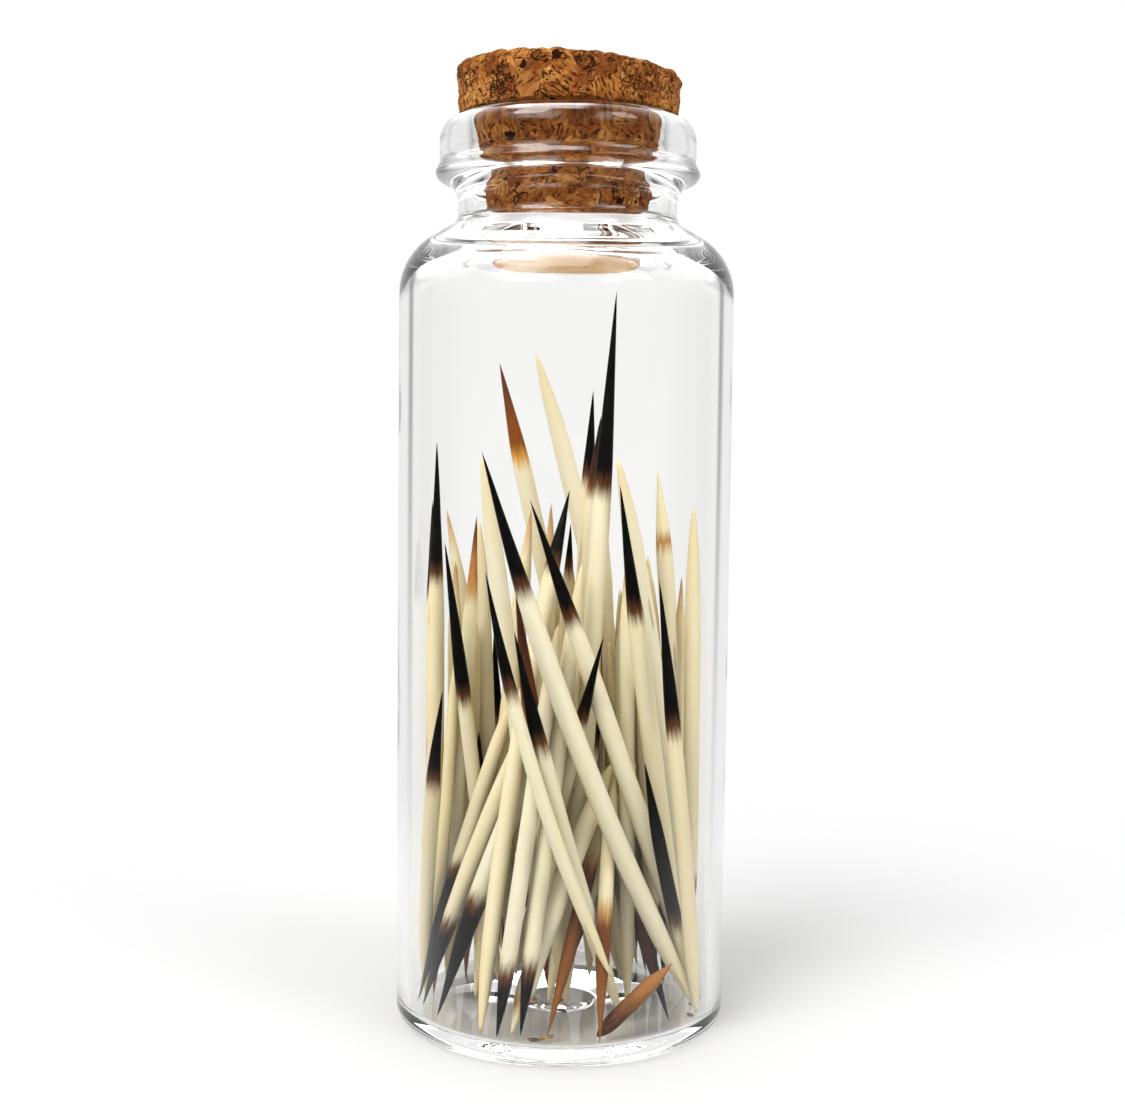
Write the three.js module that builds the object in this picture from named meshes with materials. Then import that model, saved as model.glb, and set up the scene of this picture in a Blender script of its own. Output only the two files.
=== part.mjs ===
// A small round glass jar with a cork in its mouth, standing upright and holding loose porcupine quills.
// Millimetres, +Z up, -Y is the front. The origin is the middle of the jar's flat underside.

import * as THREE from 'three';

// ---------------------------------------------------------------------------------------------
// Driving dimensions
// ---------------------------------------------------------------------------------------------

const bodyRadius = 18.5;
const glassWall = 1.5;
const glassFloor = 2;
const baseFilletRadius = 1.8;
const innerFilletRadius = 1;
const boreRadius = 10.5;
const glassTop = 100.2;
const roundSegments = 56;

const corkBottom = 86.3;
const corkTop = 105.5;
const corkFootRadius = 8.4;
const corkHeadRadius = 12.4;
const corkTopSlope = -0.049;

const quillSides = 7;
const tipTaperShare = 0.31;
const rootTaperShare = 0.16;
const pieceGap = 0.3;

// ---------------------------------------------------------------------------------------------
// Materials
// ---------------------------------------------------------------------------------------------

const glass = new THREE.MeshStandardMaterial({
  color: 0xe8efee, roughness: 0.03, metalness: 0, transparent: true, opacity: 0.25,
});
const corkBark = new THREE.MeshStandardMaterial({ color: 0xa87440, roughness: 0.9, metalness: 0 });
const keratin = new THREE.MeshStandardMaterial({ color: 0xdcd2ae, roughness: 0.35, metalness: 0 });

// ---------------------------------------------------------------------------------------------
// Jar and cork: turned shapes
// ---------------------------------------------------------------------------------------------

/** Turns a list of [radius, height] pairs about the +Z axis. */
function turned(profile, segments) {
  const points = profile.map(([radius, height]) => new THREE.Vector2(radius, height));
  return new THREE.LatheGeometry(points, segments).rotateX(Math.PI / 2);
}

/** Points of a round corner about a centre, from one angle to another, in degrees. */
function corner(centreRadius, centreHeight, radius, fromAngle, toAngle, steps) {
  return Array.from({ length: steps + 1 }, (_, i) => {
    const angle = THREE.MathUtils.degToRad(THREE.MathUtils.lerp(fromAngle, toAngle, i / steps));
    return [centreRadius + radius * Math.cos(angle), centreHeight + radius * Math.sin(angle)];
  });
}

const innerRadius = bodyRadius - glassWall;

const baseOutside = [
  [0, 0],
  [bodyRadius - baseFilletRadius, 0],
  ...corner(bodyRadius - baseFilletRadius, baseFilletRadius, baseFilletRadius, -60, 0, 2),
];

const shoulderOutside = [
  [bodyRadius, 81.5],
  [18.2, 83.8],
  [17.3, 85.6],
  [15.6, 87],
  [14, 88],
  [12.1, 89.6],
];

const neckAndRim = [
  [12.1, 92.2],
  [14, 92.8],
  [14.7, 94.3],
  [14.15, 95.9],
  [14.15, 98.6],
  [13.4, glassTop],
  [12, glassTop],
  [boreRadius, glassTop - 1.2],
];

const inside = [
  [boreRadius, 87],
  [12, 85.8],
  [14.4, 85],
  [16.2, 83.6],
  [innerRadius, 80.5],
  ...corner(innerRadius - innerFilletRadius, glassFloor + innerFilletRadius, innerFilletRadius, 0, -90, 2),
  [0, glassFloor],
];

const jar = new THREE.Mesh(
  turned([...baseOutside, ...shoulderOutside, ...neckAndRim, ...inside], roundSegments),
  glass,
);
jar.name = 'glass_jar';

/** The cork tapers into the mouth, and its wider head stands on the rim with a sloping top. */
function corkGeometry() {
  const headBottom = glassTop + pieceGap;
  const shankTopRadius = boreRadius - pieceGap;
  const topEdge = 0.5;
  const geometry = turned([
    [0, corkBottom],
    [corkFootRadius - 0.3, corkBottom],
    [corkFootRadius, corkBottom + 0.4],
    [9.2, 92],
    [shankTopRadius, 98.8],
    [shankTopRadius, headBottom],
    [12.1, headBottom],
    [corkHeadRadius, corkTop - topEdge],
    [corkHeadRadius - topEdge, corkTop],
    [0, corkTop],
  ], roundSegments);
  const position = geometry.attributes.position;
  for (let i = 0; i < position.count; i += 1) {
    const slopeShare = Math.max(0, (position.getZ(i) - headBottom) / (corkTop - headBottom));
    position.setZ(i, position.getZ(i) + corkTopSlope * slopeShare * position.getX(i));
  }
  return geometry;
}

const cork = new THREE.Mesh(corkGeometry(), corkBark);
cork.name = 'cork';

// ---------------------------------------------------------------------------------------------
// Quills
// ---------------------------------------------------------------------------------------------

// Each row is one quill: name, which end its sharp point is (up or down), girth, the upper end
// [x, y, z], the lower end [x, y], and how far the middle bows off the straight line [x, y].
// A lower end stands on the jar's floor, except where it has a height of its own as a third number.
// Where two quills would overlap, the later row gives way more than the earlier one.
const quillRows = [
  ['tall', 'up', 2.2, [5.5, -2, 81.7], [0.9, -3.2], [0, 0]],
  ['front_long', 'up', 2.2, [-8.4, -13, 64], [15, -5], [-1.8, -0.4]],
  ['front_second', 'up', 2.1, [-3.7, -11.5, 59], [16, -2], [0, 0]],
  ['front_fourth', 'up', 1.45, [-7.8, -14, 51.7], [5, -10, 8.5], [-1.5, 0]],
  ['front_third', 'up', 1.9, [-6, -14, 45.5], [6.8, -6], [-0.8, 0]],
  ['left_black', 'up', 2, [-14.4, 0, 65], [-14.4, 1], [0, 0]],
  ['right_broad', 'up', 2.1, [5.8, -10, 60.6], [14.4, 0], [-0.2, 0]],
  ['high_amber', 'up', 2.2, [-7.7, 5, 74], [9.5, 9.5], [-0.3, 0]],
  ['high_pale', 'down', 2.4, [-4, 8, 75.5], [13.2, 9.5], [1.7, 0]],
  ['tall_twin', 'up', 2.2, [4, 0.8, 68], [-0.6, 0.6], [0, 0]],
  ['left_sweep', 'down', 2.3, [2.2, -4, 41], [-13.2, -9.3], [-1.1, -0.3]],
  ['left_broad', 'up', 1.7, [-12.9, -4, 54], [-6.8, 1.5], [0, 0]],
  ['right_black', 'up', 1.6, [10, -9, 50.5], [14.6, -6], [0.2, 0]],
  ['right_spike', 'up', 1.5, [8.9, -10, 31], [15.4, -3], [-0.3, 0]],
  ['right_pale', 'down', 2.3, [5.8, -4, 63.5], [15, 4], [0.9, 0]],
  ['right_amber', 'up', 2, [10.5, 2, 62.4], [14.4, 6], [0.6, 0]],
  ['right_edge', 'down', 2, [14.9, 3, 58], [14.9, 1], [0, 0]],
  ['left_amber', 'up', 1.8, [-10.1, 0, 56.7], [-13.6, 1.5], [0, 0]],
  ['middle_front_pale', 'down', 2, [-8.9, -7, 63.5], [-1, 0], [0.2, 0]],
  ['middle_brown', 'up', 2.1, [-4.6, -7.5, 49.5], [1.3, -4.5], [0, 0]],
  ['middle_crossing', 'up', 1.8, [4.2, -12.2, 44.8], [-5.3, 6.8], [0, 0]],
  ['middle_black', 'up', 1.9, [1.4, 0, 59.7], [-7.3, -13.5], [-1.1, 0]],
  ['left_sliver', 'up', 1.7, [-15.6, 4, 58.2], [-15.5, 4], [0, 0]],
  ['left_stump', 'up', 1.7, [-9.3, 1, 32], [-8.9, 1], [0, 0]],
  ['left_edge', 'up', 1.6, [-12.7, -7, 38], [-15.3, -1], [-0.5, 0]],
  ['broken_stub', 'up', 1.7, [12, -9, 8.8], [4, -13.8], [0, 0]],
  ['foot_amber_left', 'down', 1.6, [5.6, 1, 28], [-1.2, -15.7], [0, 0]],
  ['foot_amber_right', 'down', 1.6, [4.2, 1.5, 29], [3.7, -15.7], [-0.2, 0]],
  ['foot_front_left', 'down', 1.8, [-0.3, -5, 45.5], [-6.2, -15.2], [0, 0]],
  ['foot_front_right', 'down', 1.9, [0.5, 0, 51.8], [-5.2, -15.4], [0, 0]],
  ['front_crossing', 'down', 2.2, [7, -1.8, 29.6], [-4.4, -15.4], [-0.4, 0]],
  ['left_leaning', 'down', 1.7, [-4.7, -3, 37.3], [-15.6, -3.7], [-0.4, 0]],
  ['left_sweep_twin', 'down', 1.9, [-1, -7, 36], [-14.2, -5], [-0.8, 0]],
  ['foot_brown', 'down', 1.7, [3.2, 3, 27], [11.4, -10.5], [0.3, 0]],
  ['foot_root', 'up', 1.5, [3.2, 3, 36.5], [-1.3, -8.5], [0, 0]],
  ['left_pale', 'down', 2, [-10.1, 6, 56], [-7.7, 1.6], [0, 0]],
  ['left_grey', 'up', 1.9, [-14, 7, 57], [-4.5, 4], [0.5, 0]],
  ['middle_tan', 'up', 2, [-4.3, 2, 57.5], [-10.4, 0], [0, 0]],
  ['middle_dark', 'up', 1.6, [2.3, -2, 56], [0, 5.5], [0, 0]],
  ['high_sliver', 'up', 1.7, [3, 6, 71], [-0.5, 8], [0, 0]],
  ['middle_pink', 'up', 1.7, [5.1, 9, 58.5], [8, 9], [0, 0]],
  ['middle_grey', 'up', 1.8, [6.1, 5, 56], [4.7, 11], [0, 0]],
  ['middle_upright', 'up', 1.7, [4.7, -3, 53], [6, -1], [0, 0]],
  ['middle_upright_twin', 'up', 2, [4, 8, 51], [3.6, 6], [0, 0]],
  ['right_filler', 'down', 2, [10.6, 6, 50], [12.6, 2.5], [0, 0]],
  ['right_filler_twin', 'down', 2, [8.2, 9, 47], [10.6, 7], [0, 0]],
  ['left_hidden', 'up', 1.8, [-8.4, 6, 43], [-7, 9], [0, 0]],
  ['left_leaning_twin', 'down', 1.6, [-5, 4, 38], [-12, 9], [-0.4, 0]],
  ['left_thin_foot', 'down', 1.4, [-11.4, 2, 41], [-14, -1], [0, 0]],
  ['foot_needle', 'down', 1.5, [7.3, -1, 29], [-1, -4], [0, 0]],
  ['foot_back_right', 'down', 1.7, [4, 4, 36.5], [10.6, 8.5], [0, 0]],
  ['foot_back_right_twin', 'down', 1.7, [5.4, 3, 42.5], [11.8, 10.5], [0, 0]],
  ['foot_back_left', 'down', 1.7, [-6, 6, 25], [-2.3, 13.5], [0, 0]],
  ['foot_back_left_twin', 'down', 1.7, [-5, 7, 30], [-1.4, 13.6], [0, 0]],
  ['foot_back_leaning', 'down', 1.7, [4.6, 11, 23.5], [-4.5, 12.5], [0, 0]],
  ['inner_needle', 'up', 1.4, [1.2, 0, 28], [8, 2], [0, 0]],
  ['inner_brown', 'up', 1.8, [1.2, 2, 32], [7.4, 5.5], [0, 0]],
  ['back_tan', 'up', 1.8, [-0.9, 6, 58.1], [-1.4, 5], [0, 0]],
];

/** The quill's [radius, height] profile: a narrow root, an even shaft and a long sharp point. */
function quillProfile(length, girth) {
  const radius = girth / 2;
  const root = rootTaperShare * length;
  const tip = tipTaperShare * length;
  return [
    [0, 0],
    [0.24 * radius, 0.4],
    [0.55 * radius, 0.4 * root],
    [0.9 * radius, root],
    [radius, 0.45 * length],
    [0.95 * radius, length - tip],
    [0.58 * radius, length - 0.55 * tip],
    [0.2 * radius, length - 0.14 * tip],
    [0, length],
  ];
}

/** The radius of a quill's profile at a height along it. */
function radiusAt(profile, height) {
  const after = profile.findIndex(([, z]) => z >= height);
  if (after <= 0) return profile[Math.max(after, 0)][0];
  const [lowRadius, low] = profile[after - 1];
  const [highRadius, high] = profile[after];
  return THREE.MathUtils.mapLinear(height, low, high, lowRadius, highRadius);
}

class Quill {
  constructor([name, pointEnd, girth, upper, lower, bow]) {
    this.name = name;
    this.pointUp = pointEnd === 'up';
    this.girth = girth;
    this.upper = new THREE.Vector3(...upper);
    this.lower = new THREE.Vector3(lower[0], lower[1], lower[2] ?? glassFloor + pieceGap);
    this.bow = new THREE.Vector3(bow[0], bow[1], 0);
    this.places = this.samples();
  }

  get root() {
    return this.pointUp ? this.lower : this.upper;
  }

  get point() {
    return this.pointUp ? this.upper : this.lower;
  }

  get length() {
    return this.upper.distanceTo(this.lower);
  }

  /** Places along the bowed middle line, from the lower end, each with the quill's radius there. */
  samples() {
    const profile = quillProfile(this.length, this.girth);
    return Array.from({ length: sampleCount + 1 }, (_, i) => {
      const share = i / sampleCount;
      const alongFromRoot = this.pointUp ? share : 1 - share;
      return {
        share,
        place: new THREE.Vector3()
          .lerpVectors(this.lower, this.upper, share)
          .addScaledVector(this.bow, 4 * share * (1 - share)),
        radius: radiusAt(profile, alongFromRoot * this.length),
      };
    });
  }

  /** Shifts the place at a share of the way up by an amount, moving both ends as a rigid rod would. */
  shift(share, amount) {
    const weight = share * share + (1 - share) * (1 - share);
    this.upper.addScaledVector(amount, share / weight);
    this.lower.addScaledVector(amount, (1 - share) / weight);
    this.places = this.samples();
  }

  mesh() {
    const { length } = this;
    const along = new THREE.Vector3().subVectors(this.point, this.root).normalize();
    const across = this.bow.clone().addScaledVector(along, -this.bow.dot(along));
    if (across.lengthSq() < 1e-6) across.set(1, 0, 0).addScaledVector(along, -along.x);
    across.normalize();
    const geometry = turned(quillProfile(length, this.girth), quillSides);
    const position = geometry.attributes.position;
    for (let i = 0; i < position.count; i += 1) {
      const share = position.getZ(i) / length;
      position.setX(i, position.getX(i) + 4 * share * (1 - share) * this.bow.dot(across));
    }
    const mesh = new THREE.Mesh(geometry, keratin);
    mesh.name = `quill_${this.name}`;
    mesh.position.copy(this.root);
    const side = new THREE.Vector3().crossVectors(along, across);
    mesh.quaternion.setFromRotationMatrix(new THREE.Matrix4().makeBasis(across, side, along));
    return mesh;
  }
}

/** The nearest pair of sampled places of two quills, by the clearance between their skins. */
function nearest(samplesA, samplesB) {
  let best = { clearance: Infinity };
  for (const a of samplesA) {
    for (const b of samplesB) {
      const clearance = a.place.distanceTo(b.place) - a.radius - b.radius;
      if (clearance < best.clearance) best = { clearance, a, b };
    }
  }
  return best;
}

// Quills are pushed apart mostly in depth, so that they keep their places seen from the front.
const sidewaysShare = 0.15;
const earlierGives = 0.2;
const laterGives = 0.6;
const settleRounds = 500;
const sampleCount = 40;
const quillGap = 0.24;
const wallGap = 0.15;

/** Moves two quills apart by what their clearance lacks, and says whether it had to. */
function separate(earlier, later) {
  const { clearance, a, b } = nearest(earlier.places, later.places);
  const lacking = quillGap - clearance;
  if (lacking <= 0) return false;
  const apart = new THREE.Vector3().subVectors(b.place, a.place).normalize();
  const push = new THREE.Vector3(sidewaysShare * apart.x, apart.y, 0);
  push.multiplyScalar(lacking / Math.max(push.dot(apart), 0.2));
  earlier.shift(a.share, push.clone().multiplyScalar(-earlierGives));
  later.shift(b.share, push.multiplyScalar(laterGives));
  return true;
}

/** Keeps every sampled place of a quill clear of the jar's round wall. */
function keepInside(quill) {
  for (const { share, place, radius } of quill.places) {
    const cornerRoom = place.z < glassFloor + innerFilletRadius ? 0.5 * innerFilletRadius : 0;
    const room = innerRadius - wallGap - cornerRoom - radius;
    const reach = Math.hypot(place.x, place.y);
    if (reach > room) {
      quill.shift(share, new THREE.Vector3(place.x, place.y, 0).multiplyScalar(room / reach - 1));
      return;
    }
  }
}

/** Pushes the quills off each other and off the glass until none overlap. */
function settle(quills) {
  for (let round = 0; round < settleRounds; round += 1) {
    let moved = false;
    quills.forEach((later, i) => {
      for (const earlier of quills.slice(0, i)) {
        moved = separate(earlier, later) || moved;
      }
    });
    quills.forEach(keepInside);
    if (!moved) break;
  }
}

const quills = quillRows.map((row) => new Quill(row));
settle(quills);

// ---------------------------------------------------------------------------------------------
// The part
// ---------------------------------------------------------------------------------------------

const part = new THREE.Group();
part.add(jar, cork, ...quills.map((quill) => quill.mesh()));

export default part;
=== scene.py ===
"""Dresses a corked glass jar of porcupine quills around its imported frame.

The frame gives each piece its place. The jar, the cork and the quills are modelled again with fine, round
surfaces, more quills are settled among the frame's, the floor of the jar gets its crumbs, and every finish
is a procedural material. Lengths are in metres, except where a docstring says mm.
"""

from __future__ import annotations

import logging
import math
import random
from dataclasses import dataclass, field
from enum import Enum
from typing import Any, Iterable, Sequence

import bmesh
import bpy
import numpy as np
from mathutils import Matrix, Vector
from mathutils.geometry import interpolate_bezier

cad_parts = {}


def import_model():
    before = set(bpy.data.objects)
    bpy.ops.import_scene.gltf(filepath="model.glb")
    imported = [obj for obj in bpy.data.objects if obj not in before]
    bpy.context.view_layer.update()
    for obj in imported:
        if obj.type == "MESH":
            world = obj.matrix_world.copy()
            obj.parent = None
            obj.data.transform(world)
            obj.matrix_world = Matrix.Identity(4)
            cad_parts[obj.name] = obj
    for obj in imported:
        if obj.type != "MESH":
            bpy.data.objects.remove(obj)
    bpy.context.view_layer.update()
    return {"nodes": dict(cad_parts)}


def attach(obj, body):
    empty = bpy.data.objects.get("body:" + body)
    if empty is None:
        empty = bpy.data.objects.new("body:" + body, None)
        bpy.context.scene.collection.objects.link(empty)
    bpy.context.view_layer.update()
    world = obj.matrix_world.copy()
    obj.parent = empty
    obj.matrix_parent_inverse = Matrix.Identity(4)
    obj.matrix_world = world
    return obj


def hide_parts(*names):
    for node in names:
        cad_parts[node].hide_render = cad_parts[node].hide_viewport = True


LOG = logging.getLogger("jar_of_quills")
BODY = "root"
MM = 0.001

MERGE_DISTANCE = 1e-7
SAME_PLACE = 1e-8

Colour = tuple[float, float, float]
Span = tuple[float, float]


# ---------------------------------------------------------------------------------------------
# Modelling helpers
# ---------------------------------------------------------------------------------------------


def deselect_everything() -> None:
    """Leaves object mode with nothing selected."""
    if bpy.context.object and bpy.context.object.mode != "OBJECT":
        bpy.ops.object.mode_set(mode="OBJECT")
    bpy.ops.object.select_all(action="DESELECT")


def make_active(piece: bpy.types.Object) -> None:
    """Makes one object the only selected and active one.

    Args:
        piece: The object to work on.
    """
    deselect_everything()
    piece.select_set(True)
    bpy.context.view_layer.objects.active = piece


def select_vertices(piece: bpy.types.Object, wanted: Any) -> None:
    """Selects the vertices that a test picks, in edit mode.

    Args:
        piece: The object being edited.
        wanted: A function of a vertex's place that says whether it is selected.
    """
    mesh = bmesh.from_edit_mesh(piece.data)
    for vertex in mesh.verts:
        vertex.select_set(False)
    for vertex in mesh.verts:
        if wanted(vertex.co):
            vertex.select_set(True)
    mesh.select_flush(True)
    bmesh.update_edit_mesh(piece.data)


def apply_modifier(piece: bpy.types.Object, kind: str, **settings: Any) -> None:
    """Adds a modifier with its settings and applies it at once.

    Args:
        piece: The object to change.
        kind: The modifier's type.
        **settings: Values for the modifier's own properties.
    """
    make_active(piece)
    modifier = piece.modifiers.new(kind.lower(), kind)
    for name, value in settings.items():
        setattr(modifier, name, value)
    bpy.ops.object.modifier_apply(modifier=modifier.name)


def finish_mesh(piece: bpy.types.Object, smooth_angle: float) -> None:
    """Merges doubles, turns the faces outwards and smooths all but the sharp edges.

    Args:
        piece: The object to finish.
        smooth_angle: The angle in degrees past which an edge stays sharp.
    """
    make_active(piece)
    bpy.ops.object.mode_set(mode="EDIT")
    bpy.ops.mesh.select_all(action="SELECT")
    bpy.ops.mesh.remove_doubles(threshold=MERGE_DISTANCE)
    bpy.ops.mesh.normals_make_consistent(inside=False)
    bpy.ops.object.mode_set(mode="OBJECT")
    bpy.ops.object.shade_smooth_by_angle(angle=math.radians(smooth_angle))


@dataclass(frozen=True)
class Corner:
    """A corner of a turned outline: radius, height and how far from it the rounding starts."""

    radius: float
    height: float
    rounding: float = 0.0


def rounded_outline(corners: Sequence[Corner], steps: int) -> list[tuple[float, float]]:
    """Rounds the corners of an open outline with short curves.

    Args:
        corners: The outline's corners in order.
        steps: Points on each rounded corner.

    Returns:
        The outline's points as (radius, height).
    """
    points: list[tuple[float, float]] = []
    for before, corner, after in zip([None, *corners], corners, [*corners[1:], None]):
        here = Vector((corner.radius, corner.height))
        if before is None or after is None or corner.rounding == 0:
            points.append((here.x, here.y))
            continue
        back = Vector((before.radius, before.height)) - here
        ahead = Vector((after.radius, after.height)) - here
        start = here + back.normalized() * corner.rounding
        end = here + ahead.normalized() * corner.rounding
        pull = 0.6
        curve = interpolate_bezier(start, start.lerp(here, pull), end.lerp(here, pull), end, steps)
        points.extend((point.x, point.y) for point in curve)
    return points


def turned_piece(name: str, outline: Sequence[tuple[float, float]], segments: int) -> bpy.types.Object:
    """Turns an outline about the Z axis by extruding and scaling a ring, and closes both ends.

    Args:
        name: The new object's name.
        outline: (radius, height) of each ring, in order, with no radius of 0.
        segments: Points round each ring.

    Returns:
        The closed mesh object, at the origin.
    """
    deselect_everything()
    radius, height = outline[0]
    bpy.ops.mesh.primitive_circle_add(vertices=segments, radius=radius, fill_type="NOTHING")
    piece = bpy.context.object
    piece.name = piece.data.name = name
    bpy.ops.object.mode_set(mode="EDIT")
    bpy.ops.mesh.select_all(action="SELECT")
    bpy.ops.transform.translate(value=(0, 0, height))
    bpy.ops.mesh.duplicate()
    bpy.ops.mesh.merge(type="CENTER")
    bpy.ops.mesh.select_all(action="DESELECT")
    select_vertices(piece, lambda place: Vector((place.x, place.y)).length > 0.5 * radius)
    for next_radius, next_height in outline[1:]:
        bpy.ops.mesh.extrude_edges_move(
            TRANSFORM_OT_translate={"value": (0, 0, next_height - height)}
        )
        share = next_radius / radius
        bpy.ops.transform.resize(value=(share, share, 1))
        radius, height = next_radius, next_height
    bpy.ops.mesh.edge_face_add()
    bpy.ops.mesh.select_all(action="DESELECT")
    first_radius, first_height = outline[0]
    select_vertices(
        piece,
        lambda place: abs(place.z - first_height) < SAME_PLACE
        and abs(Vector((place.x, place.y)).length - first_radius) < SAME_PLACE,
    )
    bpy.ops.mesh.edge_face_add()
    bpy.ops.mesh.select_all(action="DESELECT")
    select_vertices(piece, lambda place: Vector((place.x, place.y)).length < 0.1 * SAME_PLACE)
    bpy.ops.mesh.delete(type="VERT")
    bpy.ops.object.mode_set(mode="OBJECT")
    return piece


def put_on_frame(piece: bpy.types.Object, slot: str, *replaced: str) -> None:
    """Makes a finished piece ride on the frame and hides the frame's nodes that it stands for.

    Args:
        piece: The finished object.
        slot: Not used.
        *replaced: CAD nodes that it stands for.
    """
    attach(piece, BODY)
    if replaced:
        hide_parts(*replaced)


# ---------------------------------------------------------------------------------------------
# Node helpers
# ---------------------------------------------------------------------------------------------


class Graph:
    """A node tree with short calls that add nodes and join them."""

    def __init__(self, tree: bpy.types.NodeTree) -> None:
        """Starts from an empty tree.

        Args:
            tree: The tree to fill.
        """
        self.tree = tree
        tree.nodes.clear()

    def add(self, kind: str, values: dict[Any, Any] | None = None, **settings: Any) -> bpy.types.Node:
        """Adds a node.

        Args:
            kind: The node's type name.
            values: Input name or number to a value, or to an output socket to join.
            **settings: Values for the node's own properties.

        Returns:
            The node.
        """
        node = self.tree.nodes.new(kind)
        for name, value in settings.items():
            setattr(node, name, value)
        for key, value in (values or {}).items():
            if isinstance(value, bpy.types.NodeSocket):
                self.tree.links.new(value, node.inputs[key])
            else:
                node.inputs[key].default_value = value
        return node

    def math(self, operation: str, *values: Any) -> bpy.types.NodeSocket:
        """Adds a Math node and returns its output."""
        return self.add("ShaderNodeMath", dict(enumerate(values)), operation=operation).outputs[0]

    def product(self, *values: Any) -> bpy.types.NodeSocket:
        """Multiplies values together, in their order."""
        result = values[0]
        for value in values[1:]:
            result = self.math("MULTIPLY", result, value)
        return result

    def mix(self, share: Any, low: Any, high: Any) -> bpy.types.NodeSocket:
        """Mixes two colours.

        Args:
            share: How much of the second colour, 0 to 1.
            low: The first colour.
            high: The second colour.

        Returns:
            The colour output.
        """
        node = self.add("ShaderNodeMix", data_type="RGBA")
        for key, value in ((0, share), (6, low), (7, high)):
            if isinstance(value, bpy.types.NodeSocket):
                self.tree.links.new(value, node.inputs[key])
            else:
                node.inputs[key].default_value = (*value, 1) if isinstance(value, tuple) else value
        return node.outputs[2]

    def smooth_range(self, value: Any, low: float, high: float, to_low: Any = 0.0, to_high: Any = 1.0) -> Any:
        """Maps a value smoothly from one range to another, held at both ends."""
        node = self.add(
            "ShaderNodeMapRange",
            {"Value": value, "From Min": low, "From Max": high, "To Min": to_low, "To Max": to_high},
            interpolation_type="SMOOTHSTEP",
        )
        return node.outputs["Result"]

    def band(self, value: Any, fade_in: Span, fade_out: Span) -> bpy.types.NodeSocket:
        """Gives 1 between two spans of a value and 0 past them, fading over each span."""
        return self.product(self.smooth_range(value, *fade_in), self.smooth_range(value, *fade_out))

    def noise(self, place: Any, scale: float, detail: float = 2.0, roughness: float = 0.5) -> Any:
        """Adds a 3D noise texture and returns its value output."""
        values = {"Vector": place, "Scale": scale, "Detail": detail, "Roughness": roughness}
        return self.add("ShaderNodeTexNoise", values).outputs["Fac"]

    def attribute(self, name: str, output: str = "Fac") -> bpy.types.NodeSocket:
        """Reads one of the piece's own attributes."""
        return self.add("ShaderNodeAttribute", attribute_name=name).outputs[output]

    def scatter(self, flecks: bpy.types.NodeTree, place: Any, size: float, amount: float) -> Any:
        """Scatters flecks with the group for it, and returns their mask."""
        values = {"Vector": place, "Size": size, "Amount": amount}
        return self.add("ShaderNodeGroup", values, node_tree=flecks).outputs["Mask"]

    def finish_surface(self, values: dict[str, Any]) -> None:
        """Makes a Principled shader with these values the material's surface."""
        surface = self.add("ShaderNodeBsdfPrincipled", values)
        self.add("ShaderNodeOutputMaterial", {"Surface": surface.outputs[0]})


def new_material(name: str) -> tuple[bpy.types.Material, Graph]:
    """Makes an empty material.

    Args:
        name: The material's name.

    Returns:
        The material and the graph of its nodes.
    """
    material = bpy.data.materials.new(name)
    material.use_nodes = True
    return material, Graph(material.node_tree)


def new_group(name: str, inputs: dict[str, tuple[str, Any]], outputs: dict[str, str]) -> tuple[Any, Graph]:
    """Makes a shader node group.

    Args:
        name: The group's name.
        inputs: Input name to (socket type, default value).
        outputs: Output name to socket type.

    Returns:
        The group's tree and the graph of its nodes.
    """
    tree = bpy.data.node_groups.new(name, "ShaderNodeTree")
    for label, (kind, value) in inputs.items():
        socket = tree.interface.new_socket(name=label, in_out="INPUT", socket_type=kind)
        if value is not None:
            socket.default_value = value
    for label, kind in outputs.items():
        tree.interface.new_socket(name=label, in_out="OUTPUT", socket_type=kind)
    return tree, Graph(tree)


def build_flecks_group() -> bpy.types.NodeTree:
    """Builds the group that scatters small dark flecks over a surface.

    Returns:
        The group, with inputs Vector, Size and Amount, and output Mask.
    """
    tree, graph = new_group(
        "flecks",
        {
            "Vector": ("NodeSocketVector", None),
            "Size": ("NodeSocketFloat", 1000.0),
            "Amount": ("NodeSocketFloat", 0.3),
        },
        {"Mask": "NodeSocketFloat"},
    )
    given = graph.add("NodeGroupInput")
    cells = graph.add(
        "ShaderNodeTexVoronoi", {"Vector": given.outputs["Vector"], "Scale": given.outputs["Size"]}
    )
    chosen = graph.add("ShaderNodeSeparateColor", {"Color": cells.outputs["Color"]})
    rare = graph.math("LESS_THAN", chosen.outputs["Red"], given.outputs["Amount"])
    spread = graph.product(chosen.outputs["Green"], 0.34)
    near = graph.smooth_range(graph.math("SUBTRACT", cells.outputs["Distance"], spread), 0.06, 0.0)
    graph.add("NodeGroupOutput", {"Mask": graph.product(rare, near)})
    return tree


# ---------------------------------------------------------------------------------------------
# Glass jar
# ---------------------------------------------------------------------------------------------


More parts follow.
